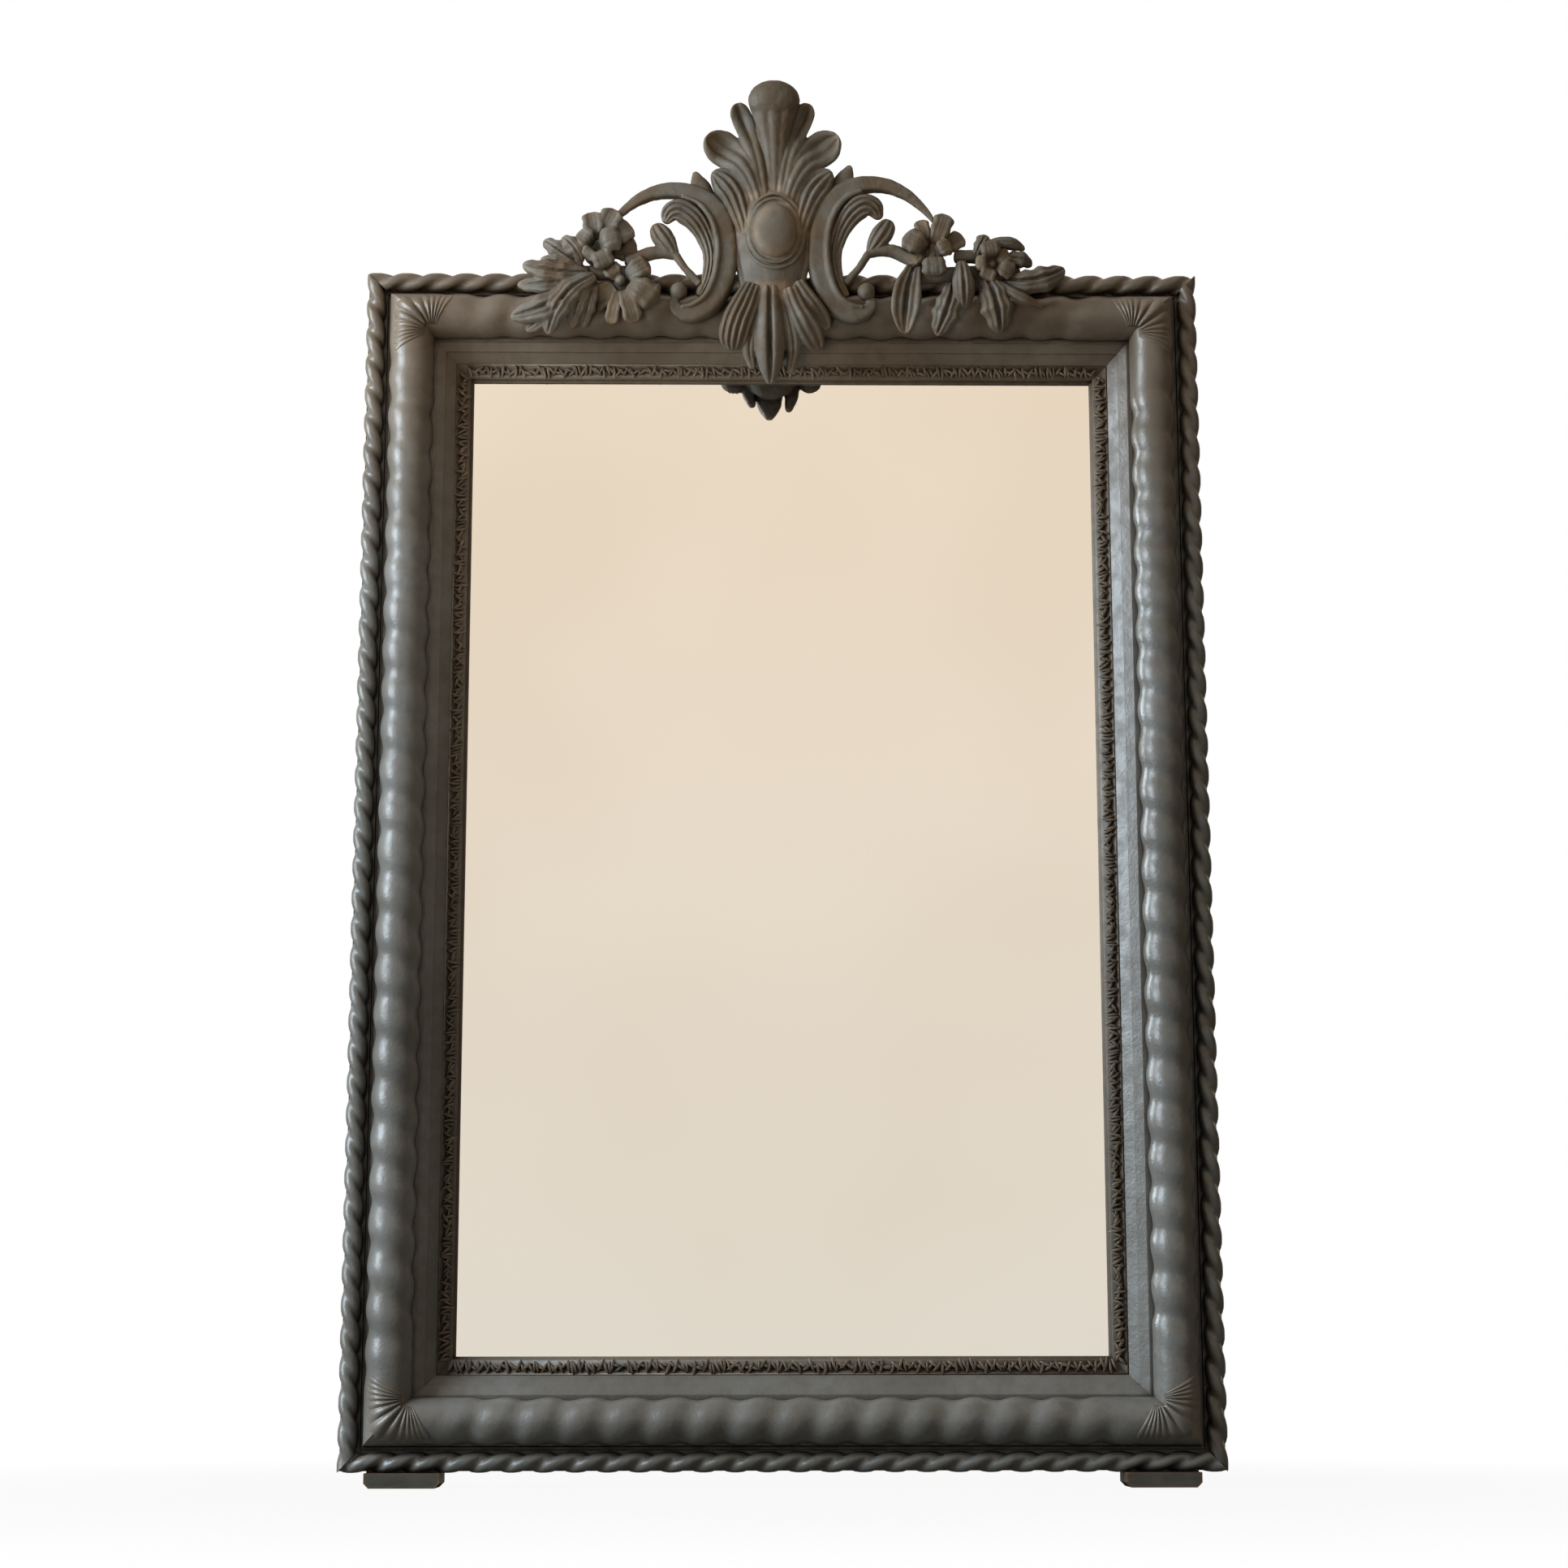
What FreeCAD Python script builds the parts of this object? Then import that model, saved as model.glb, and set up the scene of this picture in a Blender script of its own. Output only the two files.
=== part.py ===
import FreeCAD, Part
import math
import os
import Sketcher

# A tall mirror in a mitred frame with a carved crest on its top rail.
# X runs to the right, Z up, and the front looks along -Y.
# The origin lies on the floor under the middle of the whole mirror.

os.makedirs("parts", exist_ok=True)
doc = FreeCAD.newDocument("pediment_mirror")
Vector = FreeCAD.Vector

# Sizes in millimetres, with counts and one angle in degrees among them

SIZES = {
    # overall
    "frame_width": 900,
    "frame_height": 1272,
    "back_to_origin": 50,
    # section of the frame, from its outer edge inwards
    "rope_diameter": 21,
    "rope_inset": 1.5,
    "channel_width": 5.5,
    "channel_depth": 4,
    "torus_diameter": 48,
    "fillet_width": 2.5,
    "fillet_step": 2.5,
    "bead_width": 9,
    "bead_fall": 5,
    "bead_step": 2,
    "slope_width": 11,
    "slope_fall": 7.5,
    # sight slip
    "slip_width": 18.5,
    "slip_thickness": 9,
    "slip_lip_width": 3,
    "slip_lip_thickness": 3,
    "slip_edge_round": 1.5,
    "slip_overhang": 12.5,
    # glass and back
    "glass_thickness": 4,
    "glass_clearance": 1.5,
    "block_thickness": 4,
    "block_width": 11,
    "block_length": 45,
    "block_count": 3,
    "board_thickness": 8,
    "board_rebate": 11,
    "board_clearance": 0.5,
    "board_count": 4,
    "nail_radius": 1,
    "nail_length": 16,
    "nail_head_radius": 2.5,
    "nail_head_height": 1,
    "nail_edge": 30,
    # mouldings
    "rope_drop": 7,
    "rope_skirt": 7,
    "rope_pitch": 32.3,
    "rope_strands": 3,
    "rope_relief": 3.2,
    "rope_keenness": 3,
    "torus_skirt": 6,
    "torsade_pitch": 43,
    "torsade_strands": 2,
    "torsade_relief": 4.5,
    "torsade_keenness": 2,
    # corner leaves
    "corner_leaf_thickness": 2.6,
    "corner_leaf_reach": 66,
    "corner_leaf_scallop": 3.5,
    "corner_leaf_lobes": 13,
    "corner_leaf_spread": 142,
    "corner_leaf_groove_width": 2,
    "corner_leaf_groove_depth": 1.2,
    "seat_clearance": 0.3,
    # mitre keys
    "key_leg": 48,
    "key_thickness": 4,
    "key_depth": 16,
    # feet
    "foot_width": 76,
    "foot_height": 15,
    "foot_depth": 58,
    "foot_setback": 1,
    "foot_inset": 29,
    "foot_round": 5,
    "foot_screw_length": 34,
    # screws
    "screw_radius": 2,
    "screw_head_radius": 3.8,
    "screw_head_height": 2,
    # strap hangers
    "hanger_drop": 300,
    "strap_width": 18,
    "strap_length": 62,
    "strap_thickness": 1.5,
    "strap_round": 4,
    "strap_screw_first": 36,
    "strap_screw_second": 52,
    "hanger_screw_length": 18,
    "barrel_length": 18,
    "barrel_wall": 1.5,
    "ring_wire_radius": 2,
    "ring_half_width": 14,
    "ring_corner": 4,
    "ring_side": 6,
    "ring_clearance": 0.06,
    "ring_strap_gap": 0.3,
    # crest
    "crest_height": 205,
    "crest_shift": -11,
    "crest_back": 54,
    "crest_forward": 74,
    "crest_leaf_thickness": 9,
    "palmette_thickness": 12.6,
    "petal_thickness": 7.2,
    "cartouche_thickness": 42,
    "cabochon_half_width": 23,
    "cabochon_half_height": 34,
    "cabochon_rise": 15,
    "bezel_width": 9,
    "bezel_groove": 4,
    "volute_radius": 8,
    "flower_radius": 31,
    "backplate_half_width": 30,
    "backplate_height": 130,
    "backplate_round": 14,
    "cleat_width": 50,
    "cleat_thickness": 20,
    "cleat_tongue": 60,
    "cleat_rise": 110,
    "cleat_screw_edge": 18,
    "crest_screw_length": 32,
    # reach of a cut past what it cuts
    "overrun": 5,
}

sheet = doc.addObject("Spreadsheet::Sheet", "dims")
for line, (alias, number) in enumerate(SIZES.items(), start=1):
    sheet.set(f"A{line}", alias)
    sheet.set(f"B{line}", str(number))
    sheet.setAlias(f"B{line}", alias)
doc.recompute()


class Size:
    """A length with the sheet expression that gives it, so that code and sheet stay in step."""

    def __init__(self, value, text):
        self.value = value
        self.text = text

    def __add__(self, other):
        return Size(self.value + other.value, f"({self.text} + {other.text})")

    def __sub__(self, other):
        return Size(self.value - other.value, f"({self.text} - {other.text})")

    def __neg__(self):
        return Size(-self.value, f"(0 - {self.text})")

    def __mul__(self, share):
        return Size(self.value * share, f"({self.text} * {share})")

    def __truediv__(self, number):
        return Size(self.value / number, f"({self.text} / {number})")


def size(alias):
    return Size(float(sheet.get(alias)), f"dims.{alias}")


def count(alias):
    return round(float(sheet.get(alias)))


ZERO = Size(0, "0")
overrun = size("overrun")
frame_width = size("frame_width")
frame_height = size("frame_height")
back_y = size("back_to_origin")
foot_height = size("foot_height")
top_edge = foot_height + frame_height
middle_z = foot_height + frame_height / 2
seat_clearance = size("seat_clearance")

# Places across the section: u from the outer edge inwards, v from the back plane forwards

rope_diameter = size("rope_diameter")
rope_inset = size("rope_inset")
torus_diameter = size("torus_diameter")
torus_u = rope_diameter + size("channel_width")
torus_end_u = torus_u + torus_diameter
fillet_u = torus_end_u + size("fillet_width")
bead_u = fillet_u + size("bead_width")
slope_u = bead_u + size("slope_width")
sight_u = slope_u + size("slip_width")
rabbet_u = sight_u - size("slip_overhang")
board_u = rabbet_u - size("board_rebate")
board_v = size("board_thickness")
glass_back_v = board_v + size("block_thickness")
slip_v = glass_back_v + size("glass_thickness")
slip_edge_v = slip_v + size("slip_thickness")
slope_v = slip_edge_v + size("slope_fall")
bead_low_v = slope_v + size("bead_step")
bead_v = bead_low_v + size("bead_fall")
torus_v = bead_v + size("fillet_step")
torus_centre_v = torus_v + size("torus_skirt")
torus_centre_u = torus_u + torus_diameter / 2
rope_v = torus_v - size("rope_drop")
rope_centre_v = rope_v + size("rope_skirt")
channel_half = size("channel_width") / 2


# Drawing helpers

def plane_of(body, role):
    return next(plane for plane in body.Origin.OriginFeatures if plane.Role == role)


def new_sketch(body, name, role, lift=ZERO):
    sketch = body.newObject("Sketcher::SketchObject", name)
    sketch.AttachmentSupport = [(plane_of(body, role), "")]
    sketch.MapMode = "FlatFace"
    sketch.setExpression("AttachmentOffset.Base.z", lift.text)
    return sketch


def tie(sketch, kind, element, point, length):
    """Hold one coordinate of a sketch point at a length from the sheet."""
    index = sketch.addConstraint(Sketcher.Constraint(kind, element, point, length.value))
    sketch.setExpression(f"Constraints[{index}]", length.text)


def add_polygon(sketch, corners):
    """A closed run of lines with every corner tied to the sheet."""
    first = len(sketch.Geometry)
    places = [Vector(x.value, y.value, 0) for x, y in corners]
    total = len(places)
    for index, place in enumerate(places):
        sketch.addGeometry(Part.LineSegment(place, places[(index + 1) % total]), False)
    for index in range(total):
        after = first + (index + 1) % total
        sketch.addConstraint(Sketcher.Constraint("Coincident", first + index, 2, after, 1))
    for index, (x, y) in enumerate(corners):
        tie(sketch, "DistanceX", first + index, 1, x)
        tie(sketch, "DistanceY", first + index, 1, y)


def add_circle(sketch, x, y, radius):
    centre = Vector(x.value, y.value, 0)
    element = sketch.addGeometry(Part.Circle(centre, Vector(0, 0, 1), radius.value), False)
    tie(sketch, "DistanceX", element, 3, x)
    tie(sketch, "DistanceY", element, 3, y)
    index = sketch.addConstraint(Sketcher.Constraint("Radius", element, radius.value))
    sketch.setExpression(f"Constraints[{index}]", radius.text)


def add_rectangle(sketch, left, right, low, high):
    add_polygon(sketch, [(left, low), (right, low), (right, high), (left, high)])


def pad(body, name, sketch, length):
    """Material on both sides of the sketch, so that its direction can't be wrong."""
    feature = body.newObject("PartDesign::Pad", name)
    feature.Profile = sketch
    feature.SideType = "Symmetric"
    feature.setExpression("Length", length.text)
    return feature


def pocket(body, name, sketch, length):
    feature = body.newObject("PartDesign::Pocket", name)
    feature.Profile = sketch
    feature.SideType = "Symmetric"
    feature.setExpression("Length", length.text)
    return feature


def new_body(label):
    body = doc.addObject("PartDesign::Body", label)
    body.Label = label
    return body


def stand(thing, rotation, x, y, z):
    """Turn a piece into place and tie its place to the sheet."""
    thing.Placement = FreeCAD.Placement(Vector(x.value, y.value, z.value), rotation)
    thing.setExpression("Placement.Base.x", x.text)
    thing.setExpression("Placement.Base.y", y.text)
    thing.setExpression("Placement.Base.z", z.text)


def keep(label, shape, placement=None):
    """A piece whose shape is worked out in code."""
    feature = doc.addObject("Part::Feature", label)
    feature.Label = label
    feature.Shape = shape
    if placement is not None:
        feature.Placement = placement
    return feature


def largest(shape):
    return max(shape.Solids, key=lambda solid: solid.Volume)


# The four sides share one local frame: x inwards, y forwards, z along the member

OUT = Vector(0, -1, 0)
RIGHT = Vector(1, 0, 0)
UP = Vector(0, 0, 1)


def turned(inward):
    return FreeCAD.Rotation(inward, OUT, inward.cross(OUT), "XYZ")


SIDES = {
    "bottom": (turned(UP), frame_width, ZERO, foot_height),
    "top": (turned(-UP), frame_width, ZERO, top_edge),
    "left": (turned(RIGHT), frame_height, -frame_width / 2, middle_z),
    "right": (turned(-RIGHT), frame_height, frame_width / 2, middle_z),
}


def side_placement(side):
    rotation, length, x, z = SIDES[side]
    return FreeCAD.Placement(Vector(x.value, back_y.value, z.value), rotation)


def mitre(body, length, depth):
    """Both ends cut at 45 degrees, from the outer edge inwards."""
    sketch = new_sketch(body, body.Label + "_mitre", "XZ_Plane")
    half = length / 2
    inner = sight_u + overrun
    add_polygon(sketch, [(-overrun, half + overrun), (inner, half - inner), (inner, half + overrun)])
    add_polygon(sketch, [(-overrun, -half - overrun), (inner, -half - overrun), (inner, inner - half)])
    pocket(body, body.Label + "_mitre_cut", sketch, (depth + overrun) * 2)


# Boards and nails are placed here, because the stiles are bored for the nails

board_count = count("board_count")
board_low = foot_height + board_u + size("board_clearance")
board_high = top_edge - board_u - size("board_clearance")
board_height = (board_high - board_low) / board_count
board_half = frame_width / 2 - board_u - size("board_clearance")
nail_u = (board_u + rabbet_u) / 2
nail_radius = size("nail_radius")
nail_heights = []
for board in range(board_count):
    nail_heights.append(board_low + board_height * board + size("nail_edge"))
    nail_heights.append(board_low + board_height * (board + 1) - size("nail_edge"))

# Screws and their places

screw_radius = size("screw_radius")
hanger_z = top_edge - size("hanger_drop")
hanger_x = frame_width / 2 - torus_centre_u
strap_screws = (hanger_z - size("strap_screw_first"), hanger_z - size("strap_screw_second"))
foot_x = frame_width / 2 - size("foot_inset") - size("foot_width") / 2
foot_v = size("foot_setback") + size("foot_depth") / 2
foot_screw_shift = size("foot_width") / 4
crest_shift = size("crest_shift")
cleat_screw_z = (
    top_edge - size("cleat_tongue") + size("cleat_screw_edge"),
    top_edge - size("cleat_screw_edge"),
)
plate_screw_z = (
    top_edge + size("cleat_screw_edge"),
    top_edge + size("cleat_rise") - size("cleat_screw_edge"),
)
crest_screw_shift = size("cleat_width") / 4


# Frame members

def frame_member(label, side):
    rotation, length, x, z = SIDES[side]
    body = new_body(label)
    section = new_sketch(body, label + "_section", "XY_Plane")
    add_polygon(section, [
        (rope_inset, ZERO),
        (board_u, ZERO),
        (board_u, board_v),
        (rabbet_u, board_v),
        (rabbet_u, slip_v),
        (slope_u, slip_v),
        (slope_u, slip_edge_v),
        (bead_u, slope_v),
        (bead_u, bead_low_v),
        (fillet_u, bead_v),
        (fillet_u, torus_v),
        (torus_u, torus_v),
        (torus_u, rope_v),
        (rope_inset, rope_v),
    ])
    pad(body, label + "_length", section, length)
    channel = new_sketch(body, label + "_channel", "XY_Plane")
    channel_u = torus_u - channel_half
    low_v = rope_v - size("channel_depth")
    add_polygon(channel, [
        (channel_u - channel_half, rope_v + overrun),
        (channel_u - channel_half / 2, low_v),
        (channel_u + channel_half / 2, low_v),
        (torus_u, rope_v),
        (torus_u, rope_v + overrun),
    ])
    pocket(body, label + "_channel_cut", channel, length + overrun)
    mitre(body, length, torus_v)
    keys = new_sketch(body, label + "_key_slots", "XZ_Plane", -size("key_depth"))
    half = length / 2 - rope_inset
    leg = size("key_leg")
    for way in (1, -1):
        add_polygon(keys, [
            (rope_inset, half * way),
            (rope_inset + leg, half * way),
            (rope_inset, (half - leg) * way),
        ])
    pocket(body, label + "_key_cut", keys, size("key_thickness"))
    stand(body, rotation, x, back_y, z)
    return body


top_rail = frame_member("top_rail", "top")
bottom_rail = frame_member("bottom_rail", "bottom")
left_stile = frame_member("left_stile", "left")
right_stile = frame_member("right_stile", "right")

# Bores of the stiles: back board nails and hanger screws

for body, way in ((left_stile, -1), (right_stile, 1)):
    nails = new_sketch(body, body.Label + "_nail_holes", "XZ_Plane", -board_v)
    for height in nail_heights:
        add_circle(nails, nail_u, (height - middle_z) * way, nail_radius)
    pocket(body, body.Label + "_nail_bores", nails, (size("nail_length") - board_v) * 2)
    screws = new_sketch(body, body.Label + "_screw_holes", "XZ_Plane")
    for height in strap_screws:
        add_circle(screws, torus_centre_u, (height - middle_z) * way, screw_radius)
    screw_bite = size("hanger_screw_length") - size("strap_thickness")
    pocket(body, body.Label + "_screw_bores", screws, screw_bite * 2)

# Bores of the bottom rail: two screws up through each foot

foot_holes = new_sketch(bottom_rail, "bottom_rail_screw_holes", "YZ_Plane", rope_inset)
foot_bite = size("foot_screw_length") - foot_height - rope_inset
for way in (1, -1):
    for step in (1, -1):
        add_circle(foot_holes, foot_v, foot_x * way + foot_screw_shift * step, screw_radius)
pocket(bottom_rail, "bottom_rail_screw_bores", foot_holes, foot_bite * 2)

# The top rail's back is housed for the crest's cleat, and bored for its screws

cleat_half = size("cleat_width") / 2
housing = new_sketch(top_rail, "top_rail_housing", "XZ_Plane")
cleat_x = -crest_shift
add_rectangle(housing, -overrun, size("cleat_tongue"), cleat_x - cleat_half, cleat_x + cleat_half)
pocket(top_rail, "top_rail_housing_cut", housing, size("cleat_thickness") * 2)
cleat_holes = new_sketch(top_rail, "top_rail_screw_holes", "XZ_Plane", -size("cleat_thickness"))
for height in cleat_screw_z:
    for way in (1, -1):
        add_circle(cleat_holes, top_edge - height, cleat_x + crest_screw_shift * way, screw_radius)
crest_bite = size("crest_screw_length") - size("cleat_thickness")
pocket(top_rail, "top_rail_screw_bores", cleat_holes, crest_bite * 2)

# Feather keys across the mitres

leg = size("key_leg").value
corner_in = rope_inset.value
key_half = size("key_thickness").value / 2
key_y = back_y.value - size("key_depth").value + key_half
key_solids = []
for way_x in (1, -1):
    for z_corner, way_z in ((foot_height.value, 1), (top_edge.value, -1)):
        x_corner = way_x * (frame_width.value / 2 - corner_in)
        start = Vector(x_corner, key_y, z_corner + way_z * corner_in)
        along = start + Vector(-way_x * leg, 0, 0)
        upright = start + Vector(0, 0, way_z * leg)
        face = Part.Face(Part.makePolygon([start, along, upright, start]))
        key_solids.append(face.extrude(Vector(0, -2 * key_half, 0)))
keep("mitre_keys", Part.makeCompound(key_solids))


# Wound mouldings: strands that wind round a bar at an even pitch, flat on its seat

GRID_TURNS = 12
GRID_STEPS = 7
SKIN_DEGREE = 3
EDGE_FADE = 8


def even_knots(poles):
    """Evenly spaced knots of a clamped curve with so many poles, and how often each counts."""
    spans = poles - SKIN_DEGREE
    knots = list(range(spans + 1))
    mults = [SKIN_DEGREE + 1] + [1] * (spans - 1) + [SKIN_DEGREE + 1]
    return knots, mults


def wound_bar(kind, length, radius, skirt, smooth_end):
    """Twisted half-round bar in the frame's local axes, its seat in the plane y = 0."""
    pitch = size(kind + "_pitch").value
    relief = size(kind + "_relief").value
    strands = count(kind + "_strands")
    keenness = count(kind + "_keenness")
    lobes = round(length / pitch)
    even_pitch = length / lobes
    steps = lobes * GRID_STEPS
    rows = []
    for step in range(steps + 1):
        along = length * (step / steps) - length / 2
        end_gap = length / 2 - abs(along)
        swell = 1
        if smooth_end > 0:
            swell = min(1, max(0, end_gap / smooth_end - 1))
        row = []
        for turn in range(GRID_TURNS + 1):
            angle = math.pi * (turn / GRID_TURNS) - math.pi / 2
            phase = 2 * math.pi * along / even_pitch - strands * angle
            valley = ((1 + math.cos(phase)) / 2) ** keenness
            fade = 1 - (2 * angle / math.pi) ** EDGE_FADE
            reach = radius - relief * valley * fade * swell
            row.append(Vector(reach * math.sin(angle), skirt + reach * math.cos(angle), along))
        rows.append(row)
    skin = Part.BSplineSurface()
    along_knots, along_mults = even_knots(len(rows))
    round_knots, round_mults = even_knots(len(rows[0]))
    skin.buildFromPolesMultsKnots(
        rows, along_mults, round_mults, along_knots, round_knots, False, False, SKIN_DEGREE, SKIN_DEGREE)
    top = skin.toShape()
    ends = [rows[0][0], rows[0][-1], rows[-1][-1], rows[-1][0]]
    feet = [Vector(point.x, 0, point.z) for point in ends]
    faces = [top, Part.Face(Part.makePolygon(feet + feet[:1]))]
    for edge in top.Edges:
        first, last = [vertex.Point for vertex in edge.Vertexes]
        run = [first, Vector(first.x, 0, first.z), Vector(last.x, 0, last.z), last]
        sides = [Part.makeLine(start, stop) for start, stop in zip(run, run[1:])]
        faces.append(Part.Face(Part.Wire(Part.__sortEdges__([edge] + sides))))
    shell = Part.Compound(faces)
    shell.sewShape()
    return Part.Solid(shell.Shells[0])


def mitre_wedge(length):
    """The space that one side's mouldings may fill between its two mitres."""
    half = length.value / 2
    inner = sight_u.value
    corners = [
        Vector(0, 0, -half), Vector(inner, 0, inner - half),
        Vector(inner, 0, half - inner), Vector(0, 0, half),
    ]
    return Part.Face(Part.makePolygon(corners + corners[:1])).extrude(Vector(0, frame_width.value, 0))


smooth_reach = size("corner_leaf_reach").value
for side, (rotation, length, x, z) in SIDES.items():
    wedge = mitre_wedge(length)
    rope = wound_bar("rope", length.value, rope_diameter.value / 2, size("rope_skirt").value, 0)
    rope.translate(Vector(rope_diameter.value / 2, rope_v.value, 0))
    keep(side + "_rope", largest(rope.common(wedge)), side_placement(side))
    torsade = wound_bar(
        "torsade", length.value, torus_diameter.value / 2, size("torus_skirt").value, smooth_reach)
    torsade.translate(Vector(torus_centre_u.value, torus_v.value, 0))
    keep(side + "_torsade", largest(torsade.common(wedge)), side_placement(side))


# Sight slips, a cushion with a thin lip towards the glass

for side, (rotation, length, x, z) in SIDES.items():
    label = side + "_slip"
    body = new_body(label)
    section = new_sketch(body, label + "_section", "XY_Plane")
    lip_u = sight_u - size("slip_lip_width")
    lip_v = slip_v + size("slip_lip_thickness")
    round_off = size("slip_edge_round")
    add_polygon(section, [
        (slope_u, slip_v),
        (sight_u, slip_v),
        (sight_u, lip_v),
        (lip_u, lip_v),
        (lip_u, lip_v + round_off),
        (lip_u - size("slip_width") / 3, slip_edge_v - round_off / 2),
        (slope_u + round_off, slip_edge_v + round_off / 2),
        (slope_u, slip_edge_v),
    ])
    pad(body, label + "_length", section, length)
    mitre(body, length, slip_edge_v)
    stand(body, rotation, x, back_y, z)


# Mirror glass, glazing blocks and back boards

def add_box(label, x, y, z, wide, deep, tall):
    box = doc.addObject("Part::Box", label)
    box.Label = label
    box.setExpression("Length", wide.text)
    box.setExpression("Width", deep.text)
    box.setExpression("Height", tall.text)
    stand(box, FreeCAD.Rotation(), x, y, z)
    return box


glass_half = frame_width / 2 - rabbet_u - size("glass_clearance")
glass_low = foot_height + rabbet_u + size("glass_clearance")
glass_tall = frame_height - (rabbet_u + size("glass_clearance")) * 2
glass_y = back_y - slip_v
add_box("mirror_glass", -glass_half, glass_y, glass_low, glass_half * 2, size("glass_thickness"), glass_tall)

block_solids = []
block_long = size("block_length").value
block_wide = size("block_width").value
block_deep = size("block_thickness").value
block_y = back_y.value - glass_back_v.value
wall_x = frame_width.value / 2 - rabbet_u.value
wall_low = foot_height.value + rabbet_u.value
wall_high = top_edge.value - rabbet_u.value
block_count = count("block_count")
for number in range(block_count):
    share = (number + 1) / (block_count + 1)
    z_block = wall_low + (wall_high - wall_low) * share - block_long / 2
    x_block = wall_x * (2 * share - 1) - block_long / 2
    for x in (-wall_x, wall_x - block_wide):
        block_solids.append(Part.makeBox(block_wide, block_deep, block_long, Vector(x, block_y, z_block)))
    for z in (wall_low, wall_high - block_wide):
        block_solids.append(Part.makeBox(block_long, block_deep, block_wide, Vector(x_block, block_y, z)))
keep("glazing_blocks", Part.makeCompound(block_solids))

nail_x = frame_width / 2 - nail_u
for board in range(board_count):
    label = f"back_board_{board + 1}"
    body = new_body(label)
    plank = new_sketch(body, label + "_plank", "XZ_Plane", board_v / 2)
    add_rectangle(plank, -board_half, board_half, ZERO, board_height)
    pad(body, label + "_thickness", plank, board_v)
    holes = new_sketch(body, label + "_nail_holes", "XZ_Plane", board_v / 2)
    for way in (1, -1):
        add_circle(holes, nail_x * way, size("nail_edge"), nail_radius)
        add_circle(holes, nail_x * way, board_height - size("nail_edge"), nail_radius)
    pocket(body, label + "_nail_bores", holes, board_v * 2)
    stand(body, FreeCAD.Rotation(), ZERO, back_y, board_low + board_height * board)


def pin(radius, length, head_radius, head_height, start, direction):
    """A nail or screw: its head's underside lies at start, and its shank runs along direction."""
    shank = Part.makeCylinder(radius, length, start, direction)
    head = Part.makeCylinder(head_radius, head_height, start - direction * head_height, direction)
    return shank.fuse(head).removeSplitter()


nail_solids = []
for height in nail_heights:
    for way in (1, -1):
        start = Vector(way * nail_x.value, back_y.value, height.value)
        nail_solids.append(pin(
            nail_radius.value, size("nail_length").value, size("nail_head_radius").value,
            size("nail_head_height").value, start, OUT))
keep("back_board_nails", Part.makeCompound(nail_solids))


def screw(length, start, direction):
    return pin(
        screw_radius.value, length.value, size("screw_head_radius").value,
        size("screw_head_height").value, start, direction)


# Feet, each a flat block with its lower corners rounded and two sunk screws

sunk = size("screw_head_height")
foot_screw_solids = []
for label, way in (("left_foot", -1), ("right_foot", 1)):
    body = new_body(label)
    front = new_sketch(body, label + "_front", "XZ_Plane")
    half = size("foot_width") / 2
    cut = size("foot_round")
    add_polygon(front, [
        (-half, foot_height + rope_inset), (-half, cut), (cut - half, ZERO),
        (half - cut, ZERO), (half, cut), (half, foot_height + rope_inset),
    ])
    pad(body, label + "_depth", front, size("foot_depth"))
    holes = new_sketch(body, label + "_holes", "XY_Plane")
    wells = new_sketch(body, label + "_wells", "XY_Plane")
    for step in (1, -1):
        add_circle(holes, foot_screw_shift * step, ZERO, screw_radius)
        add_circle(wells, foot_screw_shift * step, ZERO, size("screw_head_radius") + seat_clearance)
        x = way * foot_x.value + step * foot_screw_shift.value
        start = Vector(x, back_y.value - foot_v.value, 2 * sunk.value)
        foot_screw_solids.append(screw(size("foot_screw_length") - sunk * 2, start, UP))
    rope_step = new_sketch(body, label + "_rope_step", "YZ_Plane")
    rope_y = foot_v - rope_v + seat_clearance
    far_y = -size("foot_depth") / 2 - overrun
    add_rectangle(rope_step, far_y, rope_y, foot_height, foot_height + rope_inset + overrun)
    pocket(body, label + "_rope_step_cut", rope_step, size("foot_width") * 2)
    pocket(body, label + "_hole_cut", holes, (foot_height + rope_inset) * 3)
    pocket(body, label + "_well_cut", wells, sunk * 4)
    stand(body, FreeCAD.Rotation(), foot_x * way, back_y - foot_v, ZERO)
keep("foot_screws", Part.makeCompound(foot_screw_solids))

# Strap hangers on the back of the stiles, each with a barrel that a D-ring swings in

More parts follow.
